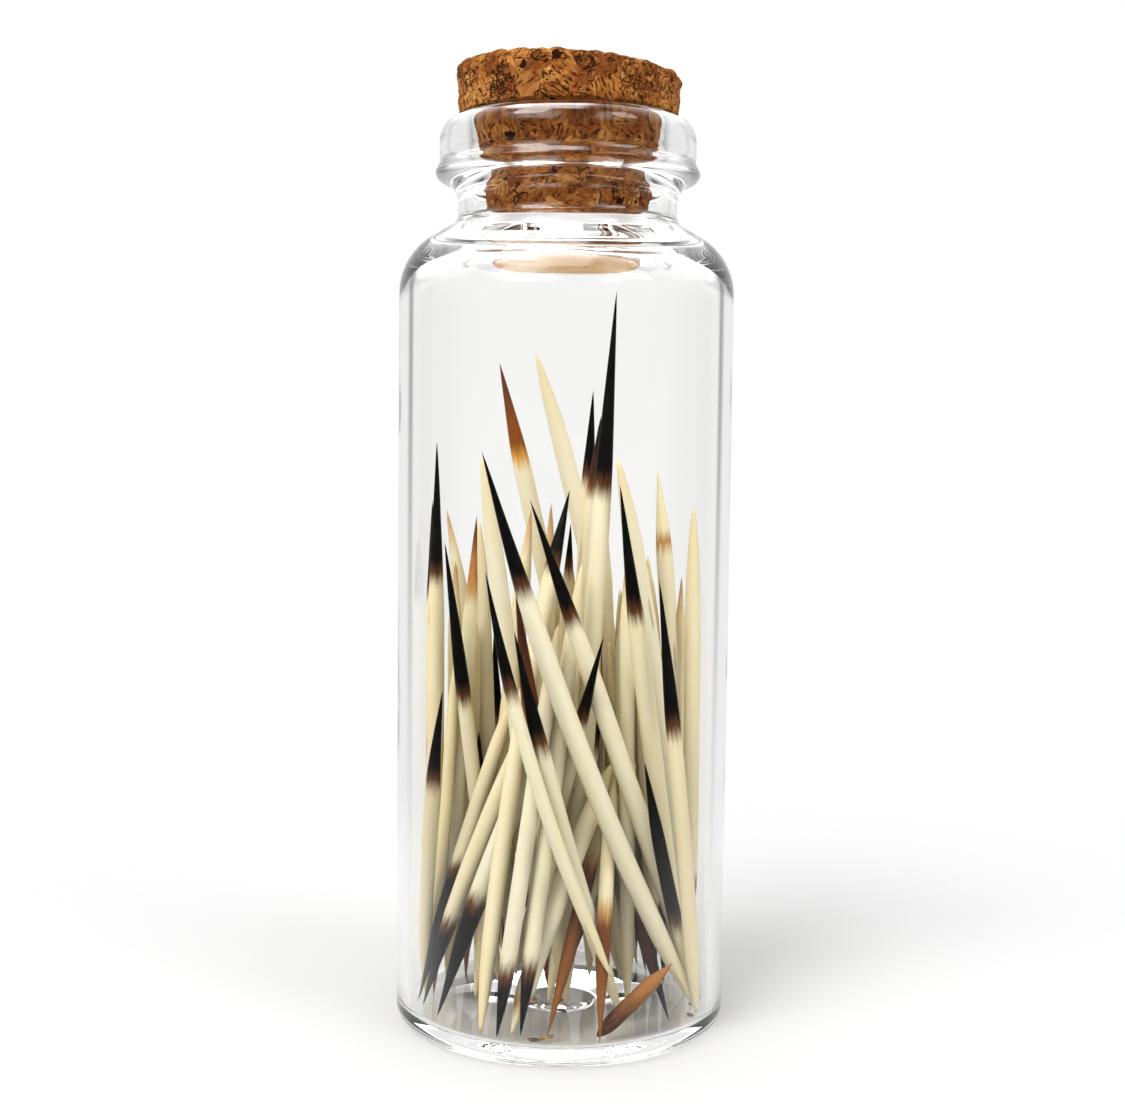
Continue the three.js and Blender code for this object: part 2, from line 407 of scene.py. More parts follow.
@dataclass(frozen=True)
class GlassFinish:
    """Clear glass, slightly uneven, with a dark reflection line painted into its colour where its inner wall
    starts to mirror.

    The line's spans are in how far the surface is turned away, and in height above the floor.
    """

    tint: Colour = (0.976, 0.975, 0.970)
    mirror: float = 0.3
    edge_mirror: float = 0.9
    edge_span: Span = (0.08, 0.4)
    light_passed: float = 0.90
    index: float = 1.5
    ripples_per_metre: float = 90.0
    unevenness: float = 0.004
    ripple_height: float = 20 * MM
    # Painted reflection: the colour and strength of the dark line painted into the glass, and the spans that
    # place it.
    painted_line_colour: Colour = (0.05, 0.05, 0.05)
    painted_line_depth: float = 0.9
    line_starts: Span = (0.575, 0.63)
    line_ends: Span = (0.70, 0.635)
    line_rises: Span = (0.012, 0.075)
    share_at_foot: float = 0.12
    line_fades: Span = (0.0815, 0.0835)
    share_at_shoulder: float = 0.4

    def material(self) -> bpy.types.Material:
        """Builds the glass, which lets lamps through to what stands inside it."""
        material, graph = new_material("clear_glass")
        place = graph.add("ShaderNodeTexCoord").outputs["Object"]
        ripples = graph.noise(place, self.ripples_per_metre, 1.0)
        values = {"Strength": self.unevenness, "Distance": self.ripple_height, "Height": ripples}
        bump = graph.add("ShaderNodeBump", values)
        fresnel = graph.add("ShaderNodeFresnel", {"IOR": self.index}).outputs[0]
        slanting = graph.smooth_range(fresnel, *self.edge_span)
        mirror = graph.mix(slanting, (self.mirror,) * 3, (self.edge_mirror,) * 3)
        glass = graph.add(
            "ShaderNodeBsdfPrincipled",
            {
                "Base Color": self.colour(graph, place),
                "Roughness": 0.0,
                "IOR": self.index,
                "Transmission Weight": 1.0,
                "Specular Tint": mirror,
                "Normal": bump.outputs["Normal"],
            },
        )
        passed = (self.light_passed, self.light_passed, self.light_passed, 1)
        clear = graph.add("ShaderNodeBsdfTransparent", {"Color": passed})
        ray = graph.add("ShaderNodeLightPath")
        lit_through = graph.math(
            "MAXIMUM", ray.outputs["Is Shadow Ray"], ray.outputs["Is Diffuse Ray"]
        )
        mixed = graph.add(
            "ShaderNodeMixShader", {0: lit_through, 1: glass.outputs[0], 2: clear.outputs[0]}
        )
        graph.add("ShaderNodeOutputMaterial", {"Surface": mixed.outputs[0]})
        return material

    def colour(self, graph: Graph, place: bpy.types.NodeSocket) -> bpy.types.NodeSocket:
        """Paints a dark reflection line into the glass's colour, where its inner wall starts to mirror.

        Args:
            graph: The material's graph.
            place: The place in the object.

        Returns:
            The glass's colour.
        """
        turned_away = graph.add("ShaderNodeLayerWeight", {"Blend": 0.5}).outputs["Facing"]
        beside_wall = graph.band(turned_away, self.line_starts, self.line_ends)
        seen_first = graph.math("LESS_THAN", graph.add("ShaderNodeLightPath").outputs["Ray Depth"], 0.5)
        # Painted reflection line: only on rays seen straight from the camera, faint low on the wall and
        # weaker toward the shoulder.
        height = graph.add("ShaderNodeSeparateXYZ", {0: place}).outputs["Z"]
        faint = self.share_at_foot * self.painted_line_depth
        up_the_wall = graph.smooth_range(height, *self.line_rises, faint, self.painted_line_depth)
        to_shoulder = graph.smooth_range(height, *self.line_fades, 1.0, self.share_at_shoulder)
        line = graph.product(beside_wall, seen_first)
        depth = graph.product(up_the_wall, to_shoulder)
        return graph.mix(graph.product(line, depth), self.tint, self.painted_line_colour)


@dataclass
class GlassJar:
    """The turned glass jar, with a bead below its lip and a small ring moulded under its base."""

    body_radius: float = 18.5 * MM
    wall: float = 1.5 * MM
    floor: float = 2.0 * MM
    neck_radius: float = 12.1 * MM
    bore_radius: float = 10.5 * MM
    lip_radius: float = 14.15 * MM
    bead_radius: float = 14.75 * MM
    mid_wall: float = 40 * MM
    shoulder_level: float = 85.2 * MM
    inner_shoulder_level: float = 84.1 * MM
    bore_foot: float = 86.2 * MM
    neck_foot: float = 89.0 * MM
    neck_top: float = 92.0 * MM
    bead_foot: float = 93.5 * MM
    bead_level: float = 94.3 * MM
    bead_top: float = 95.6 * MM
    lip_foot: float = 96.3 * MM
    top: float = 100.2 * MM
    bead_foot_radii: Span = (13.2 * MM, 14.1 * MM)
    bead_top_radius: float = 13.95 * MM
    innermost: float = 1.0 * MM
    base_ring_radius: float = 4.2 * MM
    base_ring_depth: float = 0.22 * MM
    base_ring_width: float = 0.45 * MM
    segments: int = 160
    corner_steps: int = 9
    finish: GlassFinish = field(default_factory=GlassFinish)

    def outline(self) -> list[tuple[float, float]]:
        """Gives the jar's outline, from under the base, up the outside and down the inside."""
        inner = self.body_radius - self.wall
        ring, ring_width = self.base_ring_radius, self.base_ring_width
        bead_start, bead_under = self.bead_foot_radii
        corners = [
            Corner(self.innermost, 0),
            Corner(ring - ring_width, 0),
            Corner(ring, self.base_ring_depth, 0.2 * MM),
            Corner(ring + ring_width, 0),
            Corner(self.body_radius, 0, 1.9 * MM),
            Corner(self.body_radius, self.mid_wall),
            Corner(self.body_radius, self.shoulder_level, 3.9 * MM),
            Corner(self.neck_radius, self.neck_foot, 0.9 * MM),
            Corner(self.neck_radius, self.neck_top, 0.8 * MM),
            Corner(bead_start, self.bead_foot, 0.3 * MM),
            Corner(bead_under, self.bead_foot + 0.05 * MM, 0.4 * MM),
            Corner(self.bead_radius, self.bead_level, 0.5 * MM),
            Corner(self.bead_top_radius, self.bead_top, 0.7 * MM),
            Corner(self.lip_radius, self.lip_foot, 0.3 * MM),
            Corner(self.lip_radius, self.top, 2.4 * MM),
            Corner(self.bore_radius, self.top, 1.1 * MM),
            Corner(self.bore_radius, self.bore_foot, 1.0 * MM),
            Corner(inner, self.inner_shoulder_level, 3.4 * MM),
            Corner(inner, self.mid_wall),
            Corner(inner, self.floor, 0.9 * MM),
            Corner(self.innermost, self.floor),
        ]
        return rounded_outline(corners, self.corner_steps)

    def build(self) -> bpy.types.Object:
        """Turns the jar and gives it its glass."""
        jar = turned_piece("jar", self.outline(), self.segments)
        finish_mesh(jar, 50)
        jar.data.materials.append(self.finish.material())
        put_on_frame(jar, "glass", "glass_jar")
        return jar


# ---------------------------------------------------------------------------------------------
# Cork
# ---------------------------------------------------------------------------------------------


@dataclass(frozen=True)
class CorkFinish:
    """Pressed cork: chips with the grain of each running its own way, and dark gaps between."""

    light: Colour = (0.36, 0.158, 0.042)
    # Painted light: a pale colour mixed onto the cork's underside, which sits in shade.
    painted_light_underside: Colour = (0.95, 0.63, 0.33)
    underside_from: float = 86.9 * MM
    underside_fade: float = 0.3 * MM
    underside_share: float = 0.85
    middle: Colour = (0.225, 0.076, 0.0145)
    red: Colour = (0.13, 0.036, 0.008)
    crevice: Colour = (0.014, 0.004, 0.0013)
    chips_per_metre: float = 430.0
    small_chips_per_metre: float = 980.0
    grain_per_metre: float = 4200.0
    grain_stretch: tuple[float, float, float] = (1, 0.5, 0.13)
    blotches_per_metre: float = 330.0
    crumbled_from: float = 0.52
    flecks_per_metre: float = 620.0
    fleck_share: float = 0.22
    relief: float = 0.25 * MM
    chip_wander: Span = (460.0, 3.0 * MM)
    small_chip_wander: Span = (900.0, 1.4 * MM)
    grain_wander: Span = (1100.0, 0.3 * MM)

    def material(self, flecks: bpy.types.NodeTree) -> bpy.types.Material:
        """Builds the cork.

        Args:
            flecks: The group that scatters small dark flecks.

        Returns:
            The material.
        """
        material, graph = new_material("pressed_cork")
        place = graph.add("ShaderNodeTexCoord").outputs["Object"]
        warped = self.wander(graph, place, *self.chip_wander)
        large = self.chips(graph, warped, self.chips_per_metre)
        small_place = self.wander(graph, place, *self.small_chip_wander)
        small = self.chips(graph, small_place, self.small_chips_per_metre)
        broken = graph.math("GREATER_THAN", large["own"].outputs["Blue"], self.crumbled_from)
        values = {0: broken, 4: large["turn"], 5: small["turn"]}
        mixed = graph.add("ShaderNodeMix", values, data_type="VECTOR")
        turned = graph.add(
            "ShaderNodeVectorRotate",
            {"Vector": self.wander(graph, place, *self.grain_wander), "Rotation": mixed.outputs[1]},
            rotation_type="EULER_XYZ",
        ).outputs[0]
        values = {"Vector": turned, "Scale": self.grain_stretch}
        along = graph.add("ShaderNodeMapping", values).outputs[0]
        grain = graph.noise(along, self.grain_per_metre, 3.0, 0.6)
        blotch = graph.noise(place, self.blotches_per_metre, 4.0, 0.6)
        own, lesser = large["own"].outputs, small["own"].outputs
        tone = graph.math("MULTIPLY_ADD", own["Red"], 0.26, -0.13)
        tone = graph.math("ADD", tone, graph.math("MULTIPLY_ADD", lesser["Red"], 0.2, -0.1))
        level = graph.math("ADD", graph.product(grain, 0.72), graph.product(blotch, 0.28))
        ramp = graph.add("ShaderNodeValToRGB", {"Fac": graph.math("ADD", level, tone)})
        self.colour_ramp(ramp.color_ramp)
        reddish = graph.smooth_range(own["Green"], 0.5, 0.9, 0.0, 0.5)
        body = graph.mix(reddish, ramp.outputs["Color"], self.red)
        line = graph.smooth_range(grain, 0.34, 0.46, 0.9, 0.0)
        wide = graph.smooth_range(large["edge"], 0.0, 0.08, 1.0, 0.0)
        narrow = graph.product(graph.smooth_range(small["edge"], 0.0, 0.07, 0.9, 0.0), broken)
        gap = graph.math("MAXIMUM", wide, narrow)
        torn = graph.product(gap, graph.smooth_range(blotch, 0.50, 0.60, 0.0, 1.0))
        fleck = graph.scatter(flecks, warped, self.flecks_per_metre, self.fleck_share)
        dark = graph.math("MAXIMUM", graph.math("MAXIMUM", torn, line), fleck)
        bark = graph.mix(dark, body, self.crevice)
        # Painted light: below underside_from, the cork's shaded underside is mixed toward a pale colour.
        height = graph.add("ShaderNodeSeparateXYZ", {0: place}).outputs["Z"]
        painted_light_full_at = self.underside_from - self.underside_fade
        painted_light_share = graph.smooth_range(height, self.underside_from, painted_light_full_at, 0.0, self.underside_share)
        raised = graph.math("SUBTRACT", graph.product(grain, 0.7), dark)
        bump = graph.add("ShaderNodeBump", {"Strength": 0.9, "Distance": self.relief, "Height": raised})
        graph.finish_surface(
            {
                "Base Color": graph.mix(painted_light_share, bark, self.painted_light_underside),
                "Roughness": 0.85,
                "Specular IOR Level": 0.04,
                "Normal": bump.outputs["Normal"],
            }
        )
        return material

    def chips(self, graph: Graph, place: Any, scale: float) -> dict[str, Any]:
        """Divides the cork into angular chips.

        Args:
            graph: The material's graph.
            place: The place in the cork.
            scale: Chips in a metre.

        Returns:
            The chip's own three numbers, a turn made from them, and the distance to its edge.
        """
        values = {"Vector": place, "Scale": scale}
        cells = graph.add("ShaderNodeTexVoronoi", values)
        edges = graph.add("ShaderNodeTexVoronoi", values, feature="DISTANCE_TO_EDGE")
        values = {0: cells.outputs["Color"], 1: (6.3, 6.3, 6.3)}
        turn = graph.add("ShaderNodeVectorMath", values, operation="MULTIPLY").outputs[0]
        own = graph.add("ShaderNodeSeparateColor", {"Color": cells.outputs["Color"]})
        return {"own": own, "turn": turn, "edge": edges.outputs["Distance"]}

    def wander(self, graph: Graph, place: Any, scale: float, reach: float) -> bpy.types.NodeSocket:
        """Shifts a place by a soft noise, so that straight patterns curl.

        Args:
            graph: The material's graph.
            place: The place to shift.
            scale: The noise's scale.
            reach: How far the noise can shift it.

        Returns:
            The shifted place.
        """
        values = {"Vector": place, "Scale": scale, "Detail": 2.0}
        noise = graph.add("ShaderNodeTexNoise", values).outputs["Color"]
        values = {0: noise, 1: (reach, reach, reach), 2: place}
        return graph.add("ShaderNodeVectorMath", values, operation="MULTIPLY_ADD").outputs[0]

    def colour_ramp(self, ramp: bpy.types.ColorRamp) -> None:
        """Sets a ramp from deep red-brown to pale cork."""
        ramp.elements[0].position, ramp.elements[0].color = 0.34, (*self.red, 1)
        ramp.elements[1].position, ramp.elements[1].color = 0.68, (*self.light, 1)
        middle = ramp.elements.new(0.5)
        middle.color = (*self.middle, 1)


@dataclass
class CorkStopper:
    """The stopper, carved from the frame's own cork, with torn gaps between its chips."""

    voxel: float = 0.24 * MM
    gap_depth: float = 0.24 * MM
    chip_size: float = 2.2 * MM
    roughening: float = 0.1 * MM
    swelling: float = 0.12 * MM
    grit_size: float = 0.7 * MM
    gap_contrast: float = 3.5
    finish: CorkFinish = field(default_factory=CorkFinish)

    def build(self, node: bpy.types.Object, flecks: bpy.types.NodeTree) -> bpy.types.Object:
        """Copies the frame's cork, remeshes it finely and tears its surface.

        Args:
            node: The frame's cork.
            flecks: The group that scatters small dark flecks.

        Returns:
            The stopper.
        """
        stopper = bpy.data.objects.new("cork_stopper", node.data.copy())
        bpy.context.scene.collection.objects.link(stopper)
        stopper.data.name = stopper.name
        stopper.data.materials.clear()
        finish_mesh(stopper, 30)
        apply_modifier(stopper, "REMESH", mode="VOXEL", voxel_size=self.voxel)
        apply_modifier(stopper, "DISPLACE", strength=self.swelling, mid_level=0.0)
        self.tear(stopper, self.gap_texture(), self.gap_depth)
        self.tear(stopper, self.grit_texture(), self.roughening)
        make_active(stopper)
        bpy.ops.object.shade_smooth()
        stopper.data.materials.append(self.finish.material(flecks))
        put_on_frame(stopper, "cork", "cork")
        return stopper

    def tear(self, stopper: bpy.types.Object, texture: bpy.types.Texture, depth: float) -> None:
        """Pushes the surface inwards where a texture is dark.

        Args:
            stopper: The cork.
            texture: The texture that gives the depth.
            depth: The deepest push.
        """
        apply_modifier(
            stopper, "DISPLACE", texture=texture, texture_coords="LOCAL", strength=depth, mid_level=1.0
        )

    def gap_texture(self) -> bpy.types.Texture:
        """Makes the texture of chips, dark at their edges."""
        texture = bpy.data.textures.new("cork_gaps", "VORONOI")
        texture.noise_scale = self.chip_size
        texture.weight_1, texture.weight_2 = -1.0, 1.0
        texture.noise_intensity = self.gap_contrast
        return texture

    def grit_texture(self) -> bpy.types.Texture:
        """Makes the texture of small pits all over."""
        texture = bpy.data.textures.new("cork_grit", "CLOUDS")
        texture.noise_scale = self.grit_size
        texture.noise_depth = 2
        return texture


# ---------------------------------------------------------------------------------------------
# Quills
# ---------------------------------------------------------------------------------------------


class Tip(Enum):
    """The colours of a quill's pointed end: at the very point, along it, and where it meets the shaft."""

    BLACK = ((0.0015, 0.0012, 0.001), (0.0015, 0.0012, 0.001), (0.09, 0.035, 0.012))
    BROWN = ((0.045, 0.014, 0.010), (0.17, 0.05, 0.012), (0.05, 0.017, 0.006))
    DARK_BROWN = ((0.006, 0.004, 0.003), (0.045, 0.016, 0.007), (0.16, 0.06, 0.016))
    AMBER = ((0.17, 0.060, 0.010), (0.12, 0.034, 0.006), (0.40, 0.22, 0.07))
    BROKEN = ((0.26, 0.105, 0.025), (0.035, 0.008, 0.002), (0.03, 0.007, 0.003))
    ORANGE = ((0.10, 0.03, 0.018), (0.42, 0.18, 0.05), (0.46, 0.26, 0.09))
    BURNT = ((0.11, 0.033, 0.018), (0.20, 0.055, 0.007), (0.56, 0.28, 0.05))
    TAN = ((0.45, 0.26, 0.13), (0.56, 0.38, 0.19), (0.62, 0.50, 0.30))
    PALE = ((0.70, 0.63, 0.40), (0.70, 0.62, 0.38), (0.38, 0.17, 0.04))


@dataclass(frozen=True)
class Marking:
    """One quill's colouring: its tip's colour, how far that reaches in mm, and how olive its shaft is."""

    tip: Tip
    reach: float
    olive: float = 0.3


MARKINGS: dict[str, Marking] = {
    "tall": Marking(Tip.BLACK, 21, 0.2),
    "front_long": Marking(Tip.BLACK, 14.3, 0.1),
    "front_second": Marking(Tip.BLACK, 12.9, 0.15),
    "front_fourth": Marking(Tip.BLACK, 12.2, 0.2),
    "front_third": Marking(Tip.BLACK, 12, 0.15),
    "left_black": Marking(Tip.BLACK, 14.2, 0.4),
    "right_broad": Marking(Tip.BLACK, 13.4, 0.3),
    "high_amber": Marking(Tip.BURNT, 10.5, 0.2),
    "high_pale": Marking(Tip.BLACK, 9, 0.1),
    "tall_twin": Marking(Tip.DARK_BROWN, 7.5, 0.3),
    "left_sweep": Marking(Tip.BLACK, 12.5, 0.15),
    "left_broad": Marking(Tip.BLACK, 17, 0.3),
    "right_black": Marking(Tip.BLACK, 15.5, 0.4),
    "right_spike": Marking(Tip.BLACK, 18.5, 0.3),
    "right_pale": Marking(Tip.BLACK, 8, 0.1),
    "right_amber": Marking(Tip.PALE, 8, 0.2),
    "right_edge": Marking(Tip.BLACK, 12, 0.3),
    "left_amber": Marking(Tip.ORANGE, 8, 0.35),
    "middle_front_pale": Marking(Tip.AMBER, 8, 0.15),
    "middle_brown": Marking(Tip.BROWN, 19, 0.5),
    "middle_crossing": Marking(Tip.BLACK, 10, 0.2),
    "middle_black": Marking(Tip.BLACK, 8, 0.3),
    "left_sliver": Marking(Tip.BLACK, 9.5, 0.3),
    "left_stump": Marking(Tip.BLACK, 5, 0.5),
    "left_edge": Marking(Tip.BLACK, 9.8, 0.3),
    "broken_stub": Marking(Tip.BROKEN, 13, 0.9),
    "foot_amber_left": Marking(Tip.AMBER, 19, 0.3),
    "foot_amber_right": Marking(Tip.AMBER, 13, 0.3),
    "foot_front_left": Marking(Tip.BLACK, 6.2, 0.1),
    "foot_front_right": Marking(Tip.BLACK, 6.4, 0.15),
    "front_crossing": Marking(Tip.PALE, 3, 0.1),
    "left_leaning": Marking(Tip.BLACK, 15, 0.3),
    "left_sweep_twin": Marking(Tip.BLACK, 9, 0.3),
    "foot_brown": Marking(Tip.DARK_BROWN, 12, 0.4),
    "foot_root": Marking(Tip.BLACK, 6, 0.2),
    "left_pale": Marking(Tip.BROWN, 7, 0.2),
    "left_grey": Marking(Tip.TAN, 3.7, 0.3),
    "middle_tan": Marking(Tip.TAN, 4, 0.5),
    "middle_dark": Marking(Tip.BLACK, 4.5, 0.5),
    "high_sliver": Marking(Tip.BLACK, 9, 0.4),
    "middle_pink": Marking(Tip.TAN, 5, 0.3),
    "middle_grey": Marking(Tip.TAN, 2.5, 0.4),
    "middle_upright": Marking(Tip.TAN, 4, 0.2),
    "middle_upright_twin": Marking(Tip.TAN, 3, 0.4),
    "right_filler": Marking(Tip.BLACK, 9, 0.3),
    "right_filler_twin": Marking(Tip.BLACK, 9, 0.5),
    "left_hidden": Marking(Tip.BLACK, 10, 0.7),
    "left_leaning_twin": Marking(Tip.BLACK, 8, 0.6),
    "left_thin_foot": Marking(Tip.AMBER, 5, 0.5),
    "foot_needle": Marking(Tip.BLACK, 9.5, 0.4),
    "foot_back_right": Marking(Tip.BLACK, 12, 0.5),
    "foot_back_right_twin": Marking(Tip.BLACK, 10, 0.6),
    "foot_back_left": Marking(Tip.DARK_BROWN, 8, 0.7),
    "foot_back_left_twin": Marking(Tip.DARK_BROWN, 8, 0.7),
    "foot_back_leaning": Marking(Tip.BLACK, 9, 0.6),
    "inner_needle": Marking(Tip.BLACK, 7, 0.4),
    "inner_brown": Marking(Tip.BROWN, 14, 0.6),
    "back_tan": Marking(Tip.TAN, 6, 0.3),
}


@dataclass(frozen=True)
class KeratinFinish:
    """Smooth horn-like quill: a cream or olive shaft that turns brown and then its tip's colour."""

    cream: Colour = (0.71, 0.672, 0.525)
    olive: Colour = (0.70, 0.60, 0.345)
    root: Colour = (0.62, 0.52, 0.28)
    brown: Colour = (0.15, 0.06, 0.02)
    fade: float = 2.6 * MM
    raggedness: float = 3.2 * MM
    # Painted shade: the shaft darkens toward the jar's floor, between the two heights, by up to this share.
    painted_shade_strength: float = 0.17
    painted_shade_heights: Span = (45 * MM, 8 * MM)
    root_length: float = 14 * MM
    root_share: float = 0.7
    fleck_size: float = 1.7
    fleck_share: float = 0.07
    fleck_depth: float = 0.45
    relief: float = 0.1 * MM
    # Painted shade: the colour mixed into the shafts low in the jar.
    painted_shade_colour: Colour = (0.0, 0.0, 0.0)

    def material(self, flecks: bpy.types.NodeTree) -> bpy.types.Material:
        """Builds the finish, which reads each quill's own attributes.

        Args:
            flecks: The group that scatters small dark flecks.

        Returns:
            The material.
        """
        material, graph = new_material("keratin")
        around = self.around_and_along(graph)
        streaks = graph.noise(around, 2.4, 4.0, 0.65)
        fine = graph.noise(around, 7.0, 3.0, 0.65)
        clouds = graph.noise(self.around_and_along(graph, 260.0), 1.1, 2.0)
        from_tip = graph.attribute("from_tip")
        reach = graph.attribute("reach")
        ragged = graph.product(graph.math("SUBTRACT", streaks, 0.5), self.raggedness)
        past = graph.math("ADD", graph.math("SUBTRACT", from_tip, reach), ragged)
        shaft_share = graph.math("DIVIDE", past, self.fade)
        varied = graph.product(graph.math("ADD", fine, clouds), 0.5)
        olive = graph.math("ADD", graph.attribute("olive"), graph.product(varied, 1.3))
        shaft = graph.mix(graph.smooth_range(olive, 0.35, 1.35), self.cream, self.olive)
        place = graph.add("ShaderNodeTexCoord").outputs["Object"]
        height = graph.add("ShaderNodeSeparateXYZ", {0: place}).outputs["Z"]
        # Painted shade: darker toward the jar's floor.
        painted_shade_low_down = graph.smooth_range(height, *self.painted_shade_heights, 0.0, self.painted_shade_strength)
        shaft = graph.mix(painted_shade_low_down, shaft, self.painted_shade_colour)
        from_root = graph.attribute("from_root")
        near_root = graph.smooth_range(from_root, self.root_length, 0.0, 0.0, self.root_share)
        shaft = graph.mix(near_root, shaft, self.root)
        fleck = graph.scatter(flecks, around, self.fleck_size, self.fleck_share)
        shaft = graph.mix(graph.product(fleck, self.fleck_depth), shaft, self.brown)
        warm = graph.mix(graph.smooth_range(shaft_share, 0.1, 1.0), graph.attribute("ring", "Color"), shaft)
        along = graph.math("ADD", graph.math("DIVIDE", from_tip, reach), graph.math("SUBTRACT", fine, 0.5))
        tip = graph.mix(
            graph.smooth_range(along, 0.25, 0.7),
            graph.attribute("point", "Color"),
            graph.attribute("middle", "Color"),
        )
        streaked = graph.smooth_range(fine, 0.52, 0.62, 0.0, 0.55)
        tip = graph.mix(streaked, tip, graph.attribute("point", "Color"))
        colour = graph.mix(graph.smooth_range(shaft_share, -0.5, 0.35), tip, warm)
        bump = graph.add("ShaderNodeBump", {"Strength": 0.3, "Distance": self.relief, "Height": fine})
        graph.finish_surface(
            {
                "Base Color": colour,
                "Roughness": graph.smooth_range(fine, 0.3, 0.7, 0.36, 0.55),
                "Specular IOR Level": 0.05,
                "Normal": bump.outputs["Normal"],
            }
        )
        return material

    def around_and_along(self, graph: Graph, per_metre: float = 90.0) -> bpy.types.NodeSocket:
        """Gives a place on a quill that has no seam round it and is drawn out along it.

        Args:
            graph: The material's graph.
            per_metre: How fast the last number grows along the quill.

        Returns:
            A vector output: cosine and sine round the quill, and how far along it.
        """
        uv = graph.add("ShaderNodeUVMap", uv_map="round_and_along").outputs["UV"]
        parts = graph.add("ShaderNodeSeparateXYZ", {0: uv})
        angle = graph.product(parts.outputs["X"], 2 * math.pi)
        along = graph.product(graph.attribute("from_tip"), per_metre)
        shifted = graph.math("ADD", along, graph.product(graph.attribute("seed"), 50.0))
        place = graph.add(
            "ShaderNodeCombineXYZ",
            {"X": graph.math("COSINE", angle), "Y": graph.math("SINE", angle), "Z": shifted},
        )
        return place.outputs[0]


